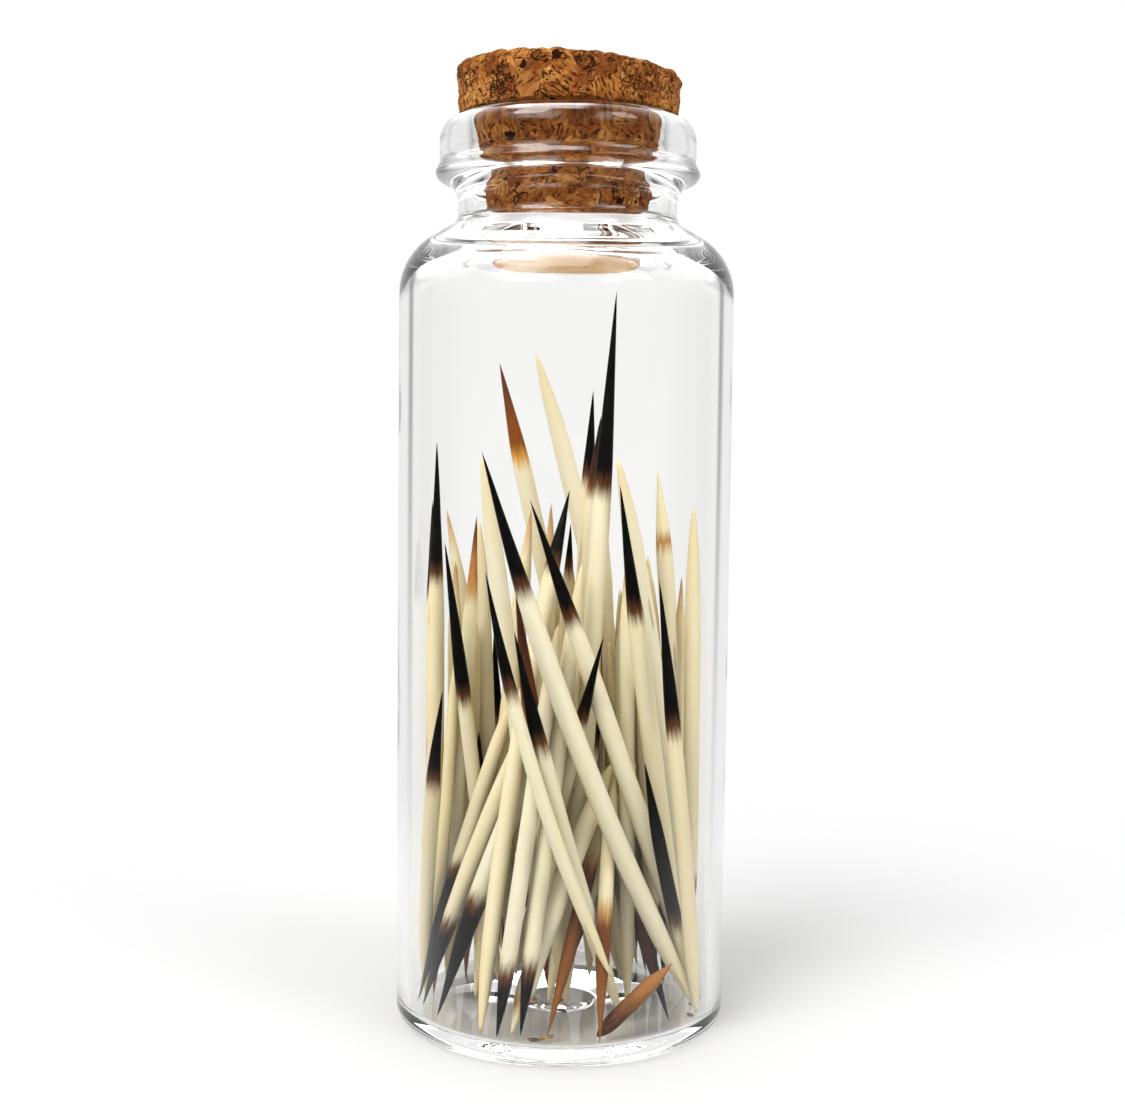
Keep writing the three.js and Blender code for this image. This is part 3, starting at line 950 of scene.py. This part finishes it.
@dataclass
class QuillMaker:
    """Models straight quills of unit length, then bends copies of them along the quills' middle lines."""

    sides: int = 20
    rings: int = 56
    outline: tuple[tuple[float, float], ...] = (
        (0.0, 0.04),
        (0.01, 0.2),
        (0.05, 0.49),
        (0.1, 0.75),
        (0.16, 0.91),
        (0.22, 0.965),
        (0.3, 0.985),
        (0.45, 1.0),
        (0.6, 0.985),
    )
    tip_outline: tuple[tuple[float, float], ...] = (
        (0.0, 0.96),
        (0.22, 0.84),
        (0.45, 0.62),
        (0.68, 0.38),
        (0.86, 0.19),
        (1.0, 0.03),
    )
    tip_shares: tuple[float, ...] = (0.17, 0.24, 0.31)
    tip_past_colour: float = 1.4
    joint_length: float = 0.04
    same_ring: float = 0.05 * MM
    finish: KeratinFinish = field(default_factory=KeratinFinish)

    def girth_at(self, share: float, tip_share: float) -> float:
        """Gives the girth at a share of the way from root to tip, as a share of the full girth.

        Args:
            share: How far along the quill, 0 at its root and 1 at its tip.
            tip_share: How much of the quill tapers to its tip.

        Returns:
            The girth there.
        """
        start = 1 - tip_share
        shaft = [place for place in self.outline if place[0] < start - self.joint_length]
        tip = [(start + tip_share * along, girth) for along, girth in self.tip_outline]
        places = shaft + tip
        for (low, low_girth), (high, high_girth) in zip(places, places[1:]):
            if share <= high:
                return low_girth + (high_girth - low_girth) * (share - low) / (high - low)
        return places[-1][1]

    def master(self, tip_share: float) -> bpy.types.Object:
        """Models a straight quill, from its root at height 0 to its tip at height 1.

        Args:
            tip_share: How much of the quill tapers to its tip.

        Returns:
            The quill.
        """
        deselect_everything()
        bpy.ops.mesh.primitive_cylinder_add(
            vertices=self.sides, radius=1, depth=1, location=(0, 0, 0.5), end_fill_type="NOTHING"
        )
        quill = bpy.context.object
        quill.name = quill.data.name = "straight_quill"
        bpy.ops.object.transform_apply(location=True, rotation=True, scale=True)
        quill.data.uv_layers[0].name = "round_and_along"
        bpy.ops.object.mode_set(mode="EDIT")
        bpy.ops.mesh.select_mode(type="EDGE")
        self.select_upright_edges(quill)
        bpy.ops.mesh.subdivide(number_cuts=self.rings - 1)
        bpy.ops.mesh.select_mode(type="VERT")
        for ring in range(self.rings + 1):
            share = ring / self.rings
            select_vertices(quill, lambda place, at=share: abs(place.z - at) < 0.2 / self.rings)
            if ring in (0, self.rings):
                bpy.ops.mesh.merge(type="CENTER")
                continue
            girth = self.girth_at(share, tip_share)
            bpy.ops.transform.resize(value=(girth, girth, 1))
        bpy.ops.object.mode_set(mode="OBJECT")
        return quill

    def select_upright_edges(self, quill: bpy.types.Object) -> None:
        """Selects the edges that run along the quill, in edit mode."""
        mesh = bmesh.from_edit_mesh(quill.data)
        for edge in mesh.edges:
            low, high = edge.verts
            edge.select_set(abs(low.co.z - high.co.z) > 0.5)
        bmesh.update_edit_mesh(quill.data)

    def middle_line(self, node: bpy.types.Object, crowding: float = 0.0) -> tuple[list[Vector], list[float]]:
        """Reads a quill's middle line and its radius along it from the frame.

        Args:
            node: The frame's quill.
            crowding: Rings that are nearer than this share of the quill's length count as one.

        Returns:
            Points from its root to its tip, and its radius at each.
        """
        corners = {tuple(round(c, 7) for c in vertex.co) for vertex in node.data.vertices}
        places = sorted((Vector(corner) for corner in corners), key=lambda place: tuple(place))
        centre = sum(places, Vector()) / len(places)
        one_end = max(places, key=lambda place: (place - centre).length)
        other_end = max(places, key=lambda place: (place - one_end).length)
        axis = (other_end - one_end).normalized()
        least_step = max(self.same_ring, crowding * (other_end - one_end).length)
        places.sort(key=lambda place: (place - one_end).dot(axis))
        rings: list[list[Vector]] = [[places[0]]]
        for place in places[1:]:
            step = (place - rings[-1][0]).dot(axis)
            if step < least_step:
                rings[-1].append(place)
            else:
                rings.append([place])
        line = [sum(ring, Vector()) / len(ring) for ring in rings]
        radii = [max((place - mid).length for place in ring) for ring, mid in zip(rings, line)]
        if (line[1] - line[0]).length > (line[-1] - line[-2]).length:
            line.reverse()
            radii.reverse()
        return line, radii

    def guide(self, line: Sequence[Vector]) -> bpy.types.Object:
        """Makes the curve that a quill is bent along.

        Args:
            line: The quill's middle line.

        Returns:
            A smooth curve through the line's points, without those crowded at the root.
        """
        curve = bpy.data.curves.new("guide", "CURVE")
        curve.dimensions = "3D"
        curve.resolution_u = 16
        spline = curve.splines.new("BEZIER")
        knots = [line[0], *line[3:-2], line[-1]]
        spline.bezier_points.add(len(knots) - 1)
        for knot, place in zip(spline.bezier_points, knots):
            knot.co = place
            knot.handle_left_type = knot.handle_right_type = "AUTO"
        guide = bpy.data.objects.new("guide", curve)
        bpy.context.scene.collection.objects.link(guide)
        return guide

    def bend(
        self, masters: dict[float, Any], name: str, line: list[Vector], radius: float, marking: Marking
    ) -> bpy.types.Object:
        """Copies a straight quill at a quill's size and bends it into its place.

        Args:
            masters: Straight quills by how much of each tapers to its tip.
            name: The new piece's name.
            line: The quill's middle line, from its root.
            radius: Its greatest radius.
            marking: Its colouring, whose reach gives the length of the tip.

        Returns:
            The new piece.
        """
        length = sum((after - before).length for before, after in zip(line, line[1:]))
        wanted = self.tip_past_colour * marking.reach * MM / length
        nearest = min(masters, key=lambda tip_share: abs(tip_share - wanted))
        quill = bpy.data.objects.new(name, masters[nearest].data.copy())
        quill.data.name = name
        bpy.context.scene.collection.objects.link(quill)
        quill.scale = (radius, radius, length)
        make_active(quill)
        bpy.ops.object.transform_apply(location=True, rotation=True, scale=True)
        self.measure(quill, length)
        guide = self.guide(line)
        apply_modifier(quill, "CURVE", object=guide, deform_axis="POS_Z")
        bpy.data.objects.remove(guide)
        return quill

    def measure(self, quill: bpy.types.Object, length: float) -> None:
        """Stores each point's distance from the tip and from the root, while the quill is straight."""
        heights = [vertex.co.z for vertex in quill.data.vertices]
        store(quill, "from_root", heights)
        store(quill, "from_tip", [length - height for height in heights])

    def mark(self, quill: bpy.types.Object, marking: Marking, seed: float) -> None:
        """Stores a quill's own colouring in its mesh.

        Args:
            quill: The bent quill.
            marking: Its colouring.
            seed: A number from 0 to 1 that shifts its pattern.
        """
        count = len(quill.data.vertices)
        store(quill, "reach", [marking.reach * MM] * count)
        store(quill, "olive", [marking.olive] * count)
        store(quill, "seed", [seed] * count)
        for label, colour in zip(("point", "middle", "ring"), marking.tip.value):
            layer = quill.data.attributes.new(label, "FLOAT_COLOR", "POINT")
            layer.data.foreach_set("color", [*colour, 1.0] * count)


def store(piece: bpy.types.Object, name: str, values: Sequence[float]) -> None:
    """Stores one number for each vertex as an attribute.

    Args:
        piece: The object.
        name: The attribute's name.
        values: A number for each vertex, in order.
    """
    attribute = piece.data.attributes.new(name, "FLOAT", "POINT")
    attribute.data.foreach_set("value", values)


@dataclass(frozen=True)
class InnerQuill:
    """One of the quills deep in the bundle: its ends as first given, and its girth, in mm.

    It is settled at that girth, and then made thinner by its slimming.
    """

    name: str
    point_up: bool
    girth: float
    upper: tuple[float, float, float]
    lower: tuple[float, float]
    marking: Marking
    slimming: float = 0.0


INNER_QUILLS = (
    InnerQuill("back_middle", True, 1.9, (1.2, 9, 51.1), (4, 9), Marking(Tip.TAN, 3, 0.5)),
    InnerQuill("back_middle_low", False, 2.0, (-2.7, 12, 46), (1, 12), Marking(Tip.BLACK, 9, 0.6)),
    InnerQuill("back_right", False, 2.0, (9, 7, 51.8), (11.6, 8), Marking(Tip.BLACK, 10, 0.4)),
    InnerQuill("back_right_inner", False, 2.1, (7.2, 10, 48.1), (9.3, 11), Marking(Tip.BLACK, 9, 0.5), 0.1),
    InnerQuill("back_right_outer", True, 2.0, (12.3, 9, 47.7), (13, 8.5), Marking(Tip.TAN, 3, 0.5)),
    InnerQuill("back_left", False, 1.7, (-5.3, 9, 49.2), (-7.2, 10), Marking(Tip.DARK_BROWN, 8, 0.5), 0.1),
    InnerQuill("back_left_inner", False, 1.9, (-10.1, 9, 51), (-10.2, 10), Marking(Tip.BLACK, 7, 0.5)),
    InnerQuill("back_left_outer", True, 1.9, (-12.9, 7, 51.1), (-12.8, 7), Marking(Tip.TAN, 3, 0.4)),
    InnerQuill("back_edge", True, 1.7, (14, 5, 49.7), (14.2, 5.5), Marking(Tip.TAN, 2.5, 0.4)),
    InnerQuill("right_inner", False, 2.0, (10.4, 1, 47), (12, 0), Marking(Tip.BLACK, 9, 0.3)),
    InnerQuill("left_inner", False, 1.9, (-10, 3, 45), (-11, 4), Marking(Tip.AMBER, 8, 0.4)),
    InnerQuill("middle_inner", False, 2.0, (-1, 3, 47), (-3, 4), Marking(Tip.BLACK, 9, 0.4)),
    InnerQuill("middle_inner_right", True, 1.9, (6.5, 1, 48), (8, 3), Marking(Tip.TAN, 3, 0.3)),
    InnerQuill("back_low_middle", False, 1.8, (0.5, 14, 38), (-6, 13), Marking(Tip.BLACK, 9, 0.6)),
    InnerQuill("back_low_right", True, 1.8, (4.5, 13, 40), (7, 13), Marking(Tip.BLACK, 5, 0.6)),
)


@dataclass
class StandingQuill:
    """An inner quill while it is moved to its place. Its ends are in mm."""

    given: InnerQuill
    foot_height: float = 2.15
    sample_count: int = 30
    line_steps: int = 9
    outline: tuple[Span, ...] = (
        (0, 0),
        (0.052, 0.5),
        (0.1, 0.75),
        (0.16, 0.9),
        (0.28, 0.985),
        (0.45, 1),
        (0.6, 0.985),
        (0.69, 0.95),
        (0.83, 0.58),
        (0.957, 0.2),
        (1, 0),
    )

    def __post_init__(self) -> None:
        """Starts from the quill's ends as first set."""
        self.upper = np.array(self.given.upper, float)
        self.lower = np.array((*self.given.lower, self.foot_height), float)

    def samples(self) -> tuple[np.ndarray, np.ndarray, np.ndarray]:
        """Gives shares of the way up, the middle line's points there, and the radii there."""
        shares = np.linspace(0, 1, self.sample_count)
        places = self.lower + (self.upper - self.lower) * shares[:, None]
        from_root = shares if self.given.point_up else 1 - shares
        along, girth = zip(*self.outline)
        return shares, places, np.interp(from_root, along, girth) * self.given.girth / 2

    def shift(self, push: np.ndarray, share: float) -> None:
        """Moves the quill so that its point at a share of the way up moves by a push.

        Args:
            push: How far that point moves.
            share: How far up it is, 0 at the foot and 1 at the top.
        """
        weight = share**2 + (1 - share) ** 2
        self.upper = self.upper + push * share / weight
        self.lower = self.lower + push * (1 - share) / weight

    def middle_line(self) -> tuple[list[Vector], float]:
        """Gives points from the quill's root to its tip, and its greatest radius, in metres."""
        high, low = Vector(self.upper) * MM, Vector(self.lower) * MM
        root, point = (low, high) if self.given.point_up else (high, low)
        line = [root.lerp(point, step / self.line_steps) for step in range(self.line_steps + 1)]
        return line, 0.5 * (self.given.girth - self.given.slimming) * MM


@dataclass
class Settler:
    """Moves the inner quills sideways, away from their neighbours and from the glass. In mm."""

    rounds: int = 120
    gap: float = 0.12
    pace: float = 0.7
    sideways_share: float = 0.5
    least_slope: float = 0.2
    room: float = 17.0
    rounded_height: float = 3.0
    rounded_margin: float = 0.5
    neighbour_samples: int = 40
    crowding: float = 0.01

    def settle(self, neighbours: Sequence[tuple[list[Vector], list[float]]]) -> list[StandingQuill]:
        """Settles all the inner quills.

        Args:
            neighbours: The middle line and the radii of each quill of the frame, in metres.

        Returns:
            The inner quills, in the order of their list.
        """
        resampled = [self.resample(line, radii) for line, radii in neighbours]
        fixed_places = np.concatenate([places for places, _ in resampled])
        fixed_radii = np.concatenate([radii for _, radii in resampled])
        quills = [StandingQuill(given) for given in INNER_QUILLS]
        for _ in range(self.rounds):
            for quill in quills:
                others = [other.samples() for other in quills if other is not quill]
                places = np.concatenate([fixed_places, *(sample[1] for sample in others)])
                radii = np.concatenate([fixed_radii, *(sample[2] for sample in others)])
                self.clear_nearest(quill, places, radii)
                self.keep_inside(quill)
        return quills

    def resample(self, line: list[Vector], radii: list[float]) -> tuple[np.ndarray, np.ndarray]:
        """Spreads even samples along a quill of the frame.

        Args:
            line: Its middle line, in metres.
            radii: Its radius at each point, in metres.

        Returns:
            The samples' places and radii, in mm.
        """
        places = np.array(line) / MM
        lengths = np.linalg.norm(np.diff(places, axis=0), axis=1)
        reached = np.concatenate([[0], np.cumsum(lengths)])
        even = np.linspace(0, reached[-1], self.neighbour_samples)
        spread = np.stack([np.interp(even, reached, places[:, axis]) for axis in range(3)], axis=1)
        return spread, np.interp(even, reached, np.array(radii) / MM)

    def clear_nearest(self, quill: StandingQuill, places: np.ndarray, radii: np.ndarray) -> None:
        """Pushes a quill away from the neighbour that it is nearest to, if that is too near.

        Args:
            quill: The quill to move.
            places: Points on its neighbours' middle lines.
            radii: The radius at each of them.
        """
        shares, own_places, own_radii = quill.samples()
        between = np.linalg.norm(own_places[:, None] - places[None], axis=2)
        clear = between - own_radii[:, None] - radii[None]
        own, other = np.unravel_index(clear.argmin(), clear.shape)
        if clear[own, other] >= self.gap:
            return
        away = own_places[own] - places[other]
        away = away / np.linalg.norm(away)
        push = np.array([away[0] * self.sideways_share, away[1], 0])
        slope = max(push @ away, self.least_slope)
        quill.shift(push * (self.gap - clear[own, other]) / slope * self.pace, shares[own])

    def keep_inside(self, quill: StandingQuill) -> None:
        """Pushes a quill back inside the glass, and off the rounding at the foot of its wall."""
        shares, places, radii = quill.samples()
        reach = np.hypot(places[:, 0], places[:, 1])
        margin = np.where(places[:, 2] < self.rounded_height, self.rounded_margin, 0)
        over = reach - (self.room - self.gap - radii - margin)
        worst = over.argmax()
        if over[worst] > 0:
            inward = -over[worst] / reach[worst]
            quill.shift(np.array([places[worst, 0], places[worst, 1], 0]) * inward, shares[worst])


@dataclass
class QuillBundle:
    """All the quills that stand in the jar."""

    maker: QuillMaker = field(default_factory=QuillMaker)
    settler: Settler = field(default_factory=Settler)
    seed: int = 7

    def build(self, nodes: dict[str, bpy.types.Object], flecks: bpy.types.NodeTree) -> int:
        """Models and dresses every quill of the frame, and the pale ones deep in the bundle.

        Args:
            nodes: The frame's nodes by name.
            flecks: The group that scatters small dark flecks.

        Returns:
            How many quills were made.
        """
        dice = random.Random(self.seed)
        keratin = self.maker.finish.material(flecks)
        masters = {share: self.maker.master(share) for share in self.maker.tip_shares}
        for name, marking in MARKINGS.items():
            node_name = f"quill_{name}"
            line, radii = self.maker.middle_line(nodes[node_name])
            quill = self.maker.bend(masters, f"bent_{node_name}", line, max(radii), marking)
            self.dress(quill, marking, dice.random(), keratin)
            put_on_frame(quill, "quill", node_name)
        crowding = self.settler.crowding
        neighbours = [self.maker.middle_line(nodes[f"quill_{name}"], crowding) for name in MARKINGS]
        for inner in self.settler.settle(neighbours):
            line, radius = inner.middle_line()
            name, marking = f"inner_quill_{inner.given.name}", inner.given.marking
            quill = self.maker.bend(masters, name, line, radius, marking)
            self.dress(quill, marking, dice.random(), keratin)
            put_on_frame(quill, "quill")
        for master in masters.values():
            bpy.data.objects.remove(master)
        return len(MARKINGS) + len(INNER_QUILLS)

    def dress(
        self, quill: bpy.types.Object, marking: Marking, seed: float, keratin: bpy.types.Material
    ) -> None:
        """Colours one bent quill.

        Args:
            quill: The bent quill.
            marking: Its colouring.
            seed: A number from 0 to 1 that shifts its pattern.
            keratin: The quills' material.
        """
        self.maker.mark(quill, marking, seed)
        finish_mesh(quill, 60)
        quill.data.materials.clear()
        quill.data.materials.append(keratin)


# ---------------------------------------------------------------------------------------------
# Crumbs on the jar's floor
# ---------------------------------------------------------------------------------------------


@dataclass(frozen=True)
class CrumbFinish:
    """Dull bits of bark and quill, in browns."""

    dark: Colour = (0.03, 0.016, 0.008)
    light: Colour = (0.22, 0.12, 0.05)
    patches_per_metre: float = 700.0
    flecks_per_metre: float = 2500.0
    fleck_share: float = 0.4
    relief: float = 0.1 * MM

    def material(self, flecks: bpy.types.NodeTree) -> bpy.types.Material:
        """Builds the finish.

        Args:
            flecks: The group that scatters small dark flecks.

        Returns:
            The material.
        """
        material, graph = new_material("crumbs")
        place = graph.add("ShaderNodeTexCoord").outputs["Object"]
        patches = graph.noise(place, self.patches_per_metre, 3.0, 0.6)
        base = graph.mix(graph.smooth_range(patches, 0.4, 0.65), self.dark, self.light)
        fleck = graph.scatter(flecks, place, self.flecks_per_metre, self.fleck_share)
        colour = graph.mix(fleck, base, self.dark)
        bump = graph.add("ShaderNodeBump", {"Strength": 0.6, "Distance": self.relief, "Height": patches})
        normal = bump.outputs["Normal"]
        graph.finish_surface({"Base Color": colour, "Roughness": 0.7, "Normal": normal})
        return material


@dataclass
class Crumbs:
    """Small bits that have fallen to the jar's floor: place in mm, and half length."""

    floor: float = 2.0 * MM
    places: tuple[tuple[float, float, float], ...] = (
        (-2.9, -2.0, 0.6),
        (-3.5, -4.0, 0.55),
        (0.2, -2.5, 0.5),
        (0.4, -5.5, 0.6),
        (-2.4, -14.6, 0.7),
        (-1.6, -14.0, 0.45),
        (-0.9, -13.6, 0.6),
        (3.4, -3.2, 0.3),
        (14.2, -6.4, 0.5),
        (14.8, -3.0, 0.35),
        (9.0, -1.0, 0.3),
        (-6.0, 4.0, 0.5),
        (6.0, 12.0, 0.5),
        (-9.5, 10.0, 0.45),
    )
    widths: Span = (0.35, 0.8)
    thicknesses: Span = (0.25, 0.45)
    jaggedness: float = 0.35
    finish: CrumbFinish = field(default_factory=CrumbFinish)
    seed: int = 11

    def build(self, flecks: bpy.types.NodeTree) -> bpy.types.Object:
        """Makes all the crumbs as one joined mesh.

        Args:
            flecks: The group that scatters small dark flecks.

        Returns:
            The crumbs.
        """
        dice = random.Random(self.seed)
        deselect_everything()
        bits = [self.crumb(dice, *place) for place in self.places]
        deselect_everything()
        for bit in bits:
            bit.select_set(True)
        bpy.context.view_layer.objects.active = bits[0]
        bpy.ops.object.join()
        crumbs = bpy.context.object
        crumbs.name = crumbs.data.name = "floor_crumbs"
        bpy.ops.object.transform_apply(location=True, rotation=True, scale=True)
        bpy.ops.object.shade_smooth_by_angle(angle=math.radians(35))
        crumbs.data.materials.append(self.finish.material(flecks))
        put_on_frame(crumbs, "quill")
        return crumbs

    def crumb(self, dice: random.Random, x: float, y: float, size: float) -> bpy.types.Object:
        """Makes one crumb: a flattened, jagged flake.

        Args:
            dice: The source of its random shape.
            x: Place across, in mm.
            y: Place in depth, in mm.
            size: Half its length, in mm.

        Returns:
            The crumb.
        """
        deselect_everything()
        bpy.ops.mesh.primitive_ico_sphere_add(subdivisions=2, radius=size * MM)
        crumb = bpy.context.object
        flat = (1.0, dice.uniform(*self.widths), dice.uniform(*self.thicknesses))
        bpy.ops.object.mode_set(mode="EDIT")
        bpy.ops.mesh.select_all(action="SELECT")
        offset = self.jaggedness * size * MM
        bpy.ops.transform.vertex_random(offset=offset, seed=dice.randrange(1, 999))
        bpy.ops.transform.resize(value=flat)
        bpy.ops.object.mode_set(mode="OBJECT")
        crumb.rotation_euler = (0, 0, dice.uniform(0, math.pi))
        low = min(vertex.co.z for vertex in crumb.data.vertices)
        crumb.location = (x * MM, y * MM, self.floor - low)
        make_active(crumb)
        bpy.ops.object.transform_apply(location=True, rotation=True, scale=True)
        return crumb


# ---------------------------------------------------------------------------------------------
# Stage
# ---------------------------------------------------------------------------------------------


@dataclass(frozen=True)
class MirroredRoom:
    """What the glass mirrors: a pale backdrop, a dim front with two windows, and lamps above and behind.

    Each span is where a thing fades in or out, in a part of the direction that is looked in.
    """

    back: float = 0.86
    front: float = 0.05
    high_share: float = 0.6
    high_span: Span = (0.16, 0.4)
    backdrop_span: Span = (0.25, 0.65)
    ceiling: float = 2.0
    ceiling_level: Span = (0.35, 0.6)
    ceiling_depth: Span = (-0.2, 0.1)
    lamp_behind: float = 1.2
    behind_lean: float = 0.5
    behind_level: Span = (0.80, 0.88)
    behind_across: tuple[Span, Span] = ((-0.8, -0.6), (0.65, 0.4))
    lamp_above: float = 22.0
    above_level: Span = (0.84, 0.90)
    above_across: tuple[Span, Span] = ((-0.7, -0.5), (0.25, 0.05))
    window: float = 12.0
    window_depth: Span = (-0.15, -0.3)
    window_level: tuple[Span, Span] = ((0.28, 0.42), (0.85, 0.65))
    left_across: tuple[Span, Span] = ((-0.8, -0.5), (0.0, -0.3))
    right_across: tuple[Span, Span] = ((0.3, 0.45), (0.7, 0.55))
    right_share: float = 0.6

    def brightness(self, graph: Graph, way: bpy.types.NodeSocket) -> bpy.types.NodeSocket:
        """Gives how bright the room is in a direction.

        Args:
            graph: The world's graph.
            way: The direction looked in.

        Returns:
            The brightness.
        """
        parts = graph.add("ShaderNodeSeparateXYZ", {0: way}).outputs
        across, depth, level = parts["X"], parts["Y"], parts["Z"]
        steepness = graph.math("ABSOLUTE", level)
        front = graph.smooth_range(steepness, *self.high_span, self.front, self.high_share * self.back)
        room = graph.smooth_range(depth, *self.backdrop_span, front, self.back)
        ceiling = graph.product(
            graph.smooth_range(level, *self.ceiling_level), graph.smooth_range(depth, *self.ceiling_depth)
        )
        room = graph.math("MULTIPLY_ADD", ceiling, self.ceiling, room)
        rise = graph.math("MULTIPLY_ADD", depth, self.behind_lean, level)
        behind = graph.smooth_range(rise, *self.behind_level)
        behind = graph.product(behind, graph.band(across, *self.behind_across))
        room = graph.math("MULTIPLY_ADD", behind, self.lamp_behind, room)
        above = graph.smooth_range(level, *self.above_level)
        above = graph.product(above, graph.band(across, *self.above_across))
        room = graph.math("MULTIPLY_ADD", above, self.lamp_above, room)
        left = graph.band(across, *self.left_across)
        right = graph.band(across, *self.right_across)
        panes = graph.math("MULTIPLY_ADD", right, self.right_share, left)
        panes = graph.product(panes, graph.band(level, *self.window_level))
        in_front = graph.smooth_range(depth, *self.window_depth)
        return graph.math("ADD", room, graph.product(panes, in_front, self.window))


@dataclass
class Studio:
    """The camera, the pale floor and the soft lights."""

    camera_place: tuple[float, float, float] = (0.000554, -0.183277, 0.065464)
    pitch_down: float = 4.1026
    turn_left: float = 0.2151
    roll: float = 0.6383
    lens_mm: float = 52.328
    floor_radius: float = 0.5
    air_gap: float = 0.05 * MM
    fade_from: float = 0.035
    fade_to: float = 0.13
    paper: tuple[Colour, Colour] = ((0.445, 0.445, 0.445), (0.46, 0.46, 0.46))
    # Painted shade: a darker paper colour under the jar's base, fading out between the two radii.
    painted_shade_under_jar: Colour = (0.44, 0.42, 0.39)
    painted_shade_edge: Span = (14.5 * MM, 16.5 * MM)
    room_wall: float = 1.22
    room_top: float = 0.08
    room_levels: Span = (0.3, 0.9)
    light_aim: float = 0.05
    mirrored: MirroredRoom = field(default_factory=MirroredRoom)

    def build(self) -> None:
        """Sets up everything that isn't part of the object."""
        self.place_camera()
        self.lay_floor()
        self.light_world()
        self.softbox("key_light", (-0.30, -0.34, 0.62), 0.30, 6.1)
        self.softbox("fill_light", (0.46, -0.30, 0.50), 0.22, 2.0)
        scene = bpy.context.scene
        scene.view_settings.view_transform = "Standard"
        scene.cycles.max_bounces = 32
        scene.cycles.transmission_bounces = 24
        scene.cycles.transparent_max_bounces = 32
        scene.cycles.diffuse_bounces = 4
        scene.cycles.glossy_bounces = 24

    def place_camera(self) -> None:
        """Adds the camera and makes it the scene's."""
        data = bpy.data.cameras.new("camera")
        data.sensor_width = 36.0
        data.lens = self.lens_mm
        data.clip_start = 0.005
        camera = bpy.data.objects.new("camera", data)
        bpy.context.scene.collection.objects.link(camera)
        turn = Matrix.Rotation(math.radians(self.turn_left), 4, "Z")
        tilt = Matrix.Rotation(math.radians(90 - self.pitch_down), 4, "X")
        roll = Matrix.Rotation(math.radians(self.roll), 4, "Z")
        camera.matrix_world = Matrix.Translation(self.camera_place) @ turn @ tilt @ roll
        bpy.context.scene.camera = camera

    def lay_floor(self) -> None:
        """Adds a round floor that fades into the white backdrop, with painted shade under the jar."""
        deselect_everything()
        bpy.ops.mesh.primitive_circle_add(
            vertices=96, radius=self.floor_radius, fill_type="NGON", location=(0, 0, -self.air_gap)
        )
        bpy.ops.object.transform_apply(location=True, rotation=True, scale=True)
        floor = bpy.context.object
        floor.name = "studio_floor"
        material, graph = new_material("white_paper")
        place = graph.add("ShaderNodeTexCoord").outputs["Object"]
        tone = graph.noise(place, 6, 2.0)
        open_paper = graph.mix(tone, *self.paper)
        away = graph.add("ShaderNodeVectorMath", {0: place}, operation="LENGTH").outputs["Value"]
        # Painted shade under the jar's base.
        painted_shade_beneath = graph.smooth_range(away, *self.painted_shade_edge, 1.0, 0.0)
        colour = graph.mix(painted_shade_beneath, open_paper, self.painted_shade_under_jar)
        solid = graph.smooth_range(away, self.fade_from, self.fade_to, 1.0, 0.0)
        graph.finish_surface({"Base Color": colour, "Roughness": 0.9, "Alpha": solid})
        floor.data.materials.append(material)

    def softbox(self, name: str, place: tuple[float, float, float], size: float, power: float) -> None:
        """Adds a square area light that faces the jar.

        Args:
            name: The light's name.
            place: Where it stands.
            size: The length of its side.
            power: Its power in watts.
        """
        data = bpy.data.lights.new(name, "AREA")
        data.size = size
        data.energy = power
        light = bpy.data.objects.new(name, data)
        bpy.context.scene.collection.objects.link(light)
        aim = Vector((0, 0, self.light_aim)) - Vector(place)
        light.location = place
        light.rotation_euler = aim.to_track_quat("-Z", "Y").to_euler()

    def light_world(self) -> None:
        """Lights the room from above and from its sides, in front of a plain white backdrop.

        What is seen straight or only through glass is the backdrop. Reflections and shaded
        surfaces get the room.
        """
        world = bpy.data.worlds.new("studio")
        bpy.context.scene.world = world
        world.use_nodes = True
        graph = Graph(world.node_tree)
        way = graph.add("ShaderNodeTexCoord").outputs["Generated"]
        height = graph.add("ShaderNodeSeparateXYZ", {0: way}).outputs["Z"]
        overhead = self.room_wall + self.room_top
        room = graph.smooth_range(height, *self.room_levels, self.room_wall, overhead)
        mirrored = self.mirrored.brightness(graph, way)
        ray = graph.add("ShaderNodeLightPath")
        unscattered = graph.math("LESS_THAN", ray.outputs["Diffuse Depth"], 0.5)
        sharp = graph.product(ray.outputs["Is Singular Ray"], unscattered)
        reflected = graph.math("GREATER_THAN", ray.outputs["Glossy Depth"], 0.5)
        seen = graph.add("ShaderNodeMix", {0: reflected, 2: 1.0, 3: mirrored}).outputs[0]
        lit = graph.add("ShaderNodeMix", {0: sharp, 2: room, 3: seen}).outputs[0]
        straight = ray.outputs["Is Camera Ray"]
        strength = graph.add("ShaderNodeMix", {0: straight, 2: lit, 3: 1.0}).outputs[0]
        background = graph.add("ShaderNodeBackground", {"Color": (1, 1, 1, 1), "Strength": strength})
        graph.add("ShaderNodeOutputWorld", {"Surface": background.outputs[0]})


# ---------------------------------------------------------------------------------------------
# Main
# ---------------------------------------------------------------------------------------------


def main() -> None:
    """Builds the studio and every piece."""
    logging.basicConfig(level=logging.INFO, format="%(name)s: %(message)s")
    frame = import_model()
    nodes = frame["nodes"]
    Studio().build()
    LOG.info("studio ready")
    flecks = build_flecks_group()
    jar = GlassJar().build()
    LOG.info("jar: %d faces", len(jar.data.polygons))
    stopper = CorkStopper().build(nodes["cork"], flecks)
    LOG.info("cork: %d faces", len(stopper.data.polygons))
    LOG.info("quills: %d", QuillBundle().build(nodes, flecks))
    crumbs = Crumbs().build(flecks)
    LOG.info("crumbs: %d faces", len(crumbs.data.polygons))


if __name__ == "__main__":
    main()
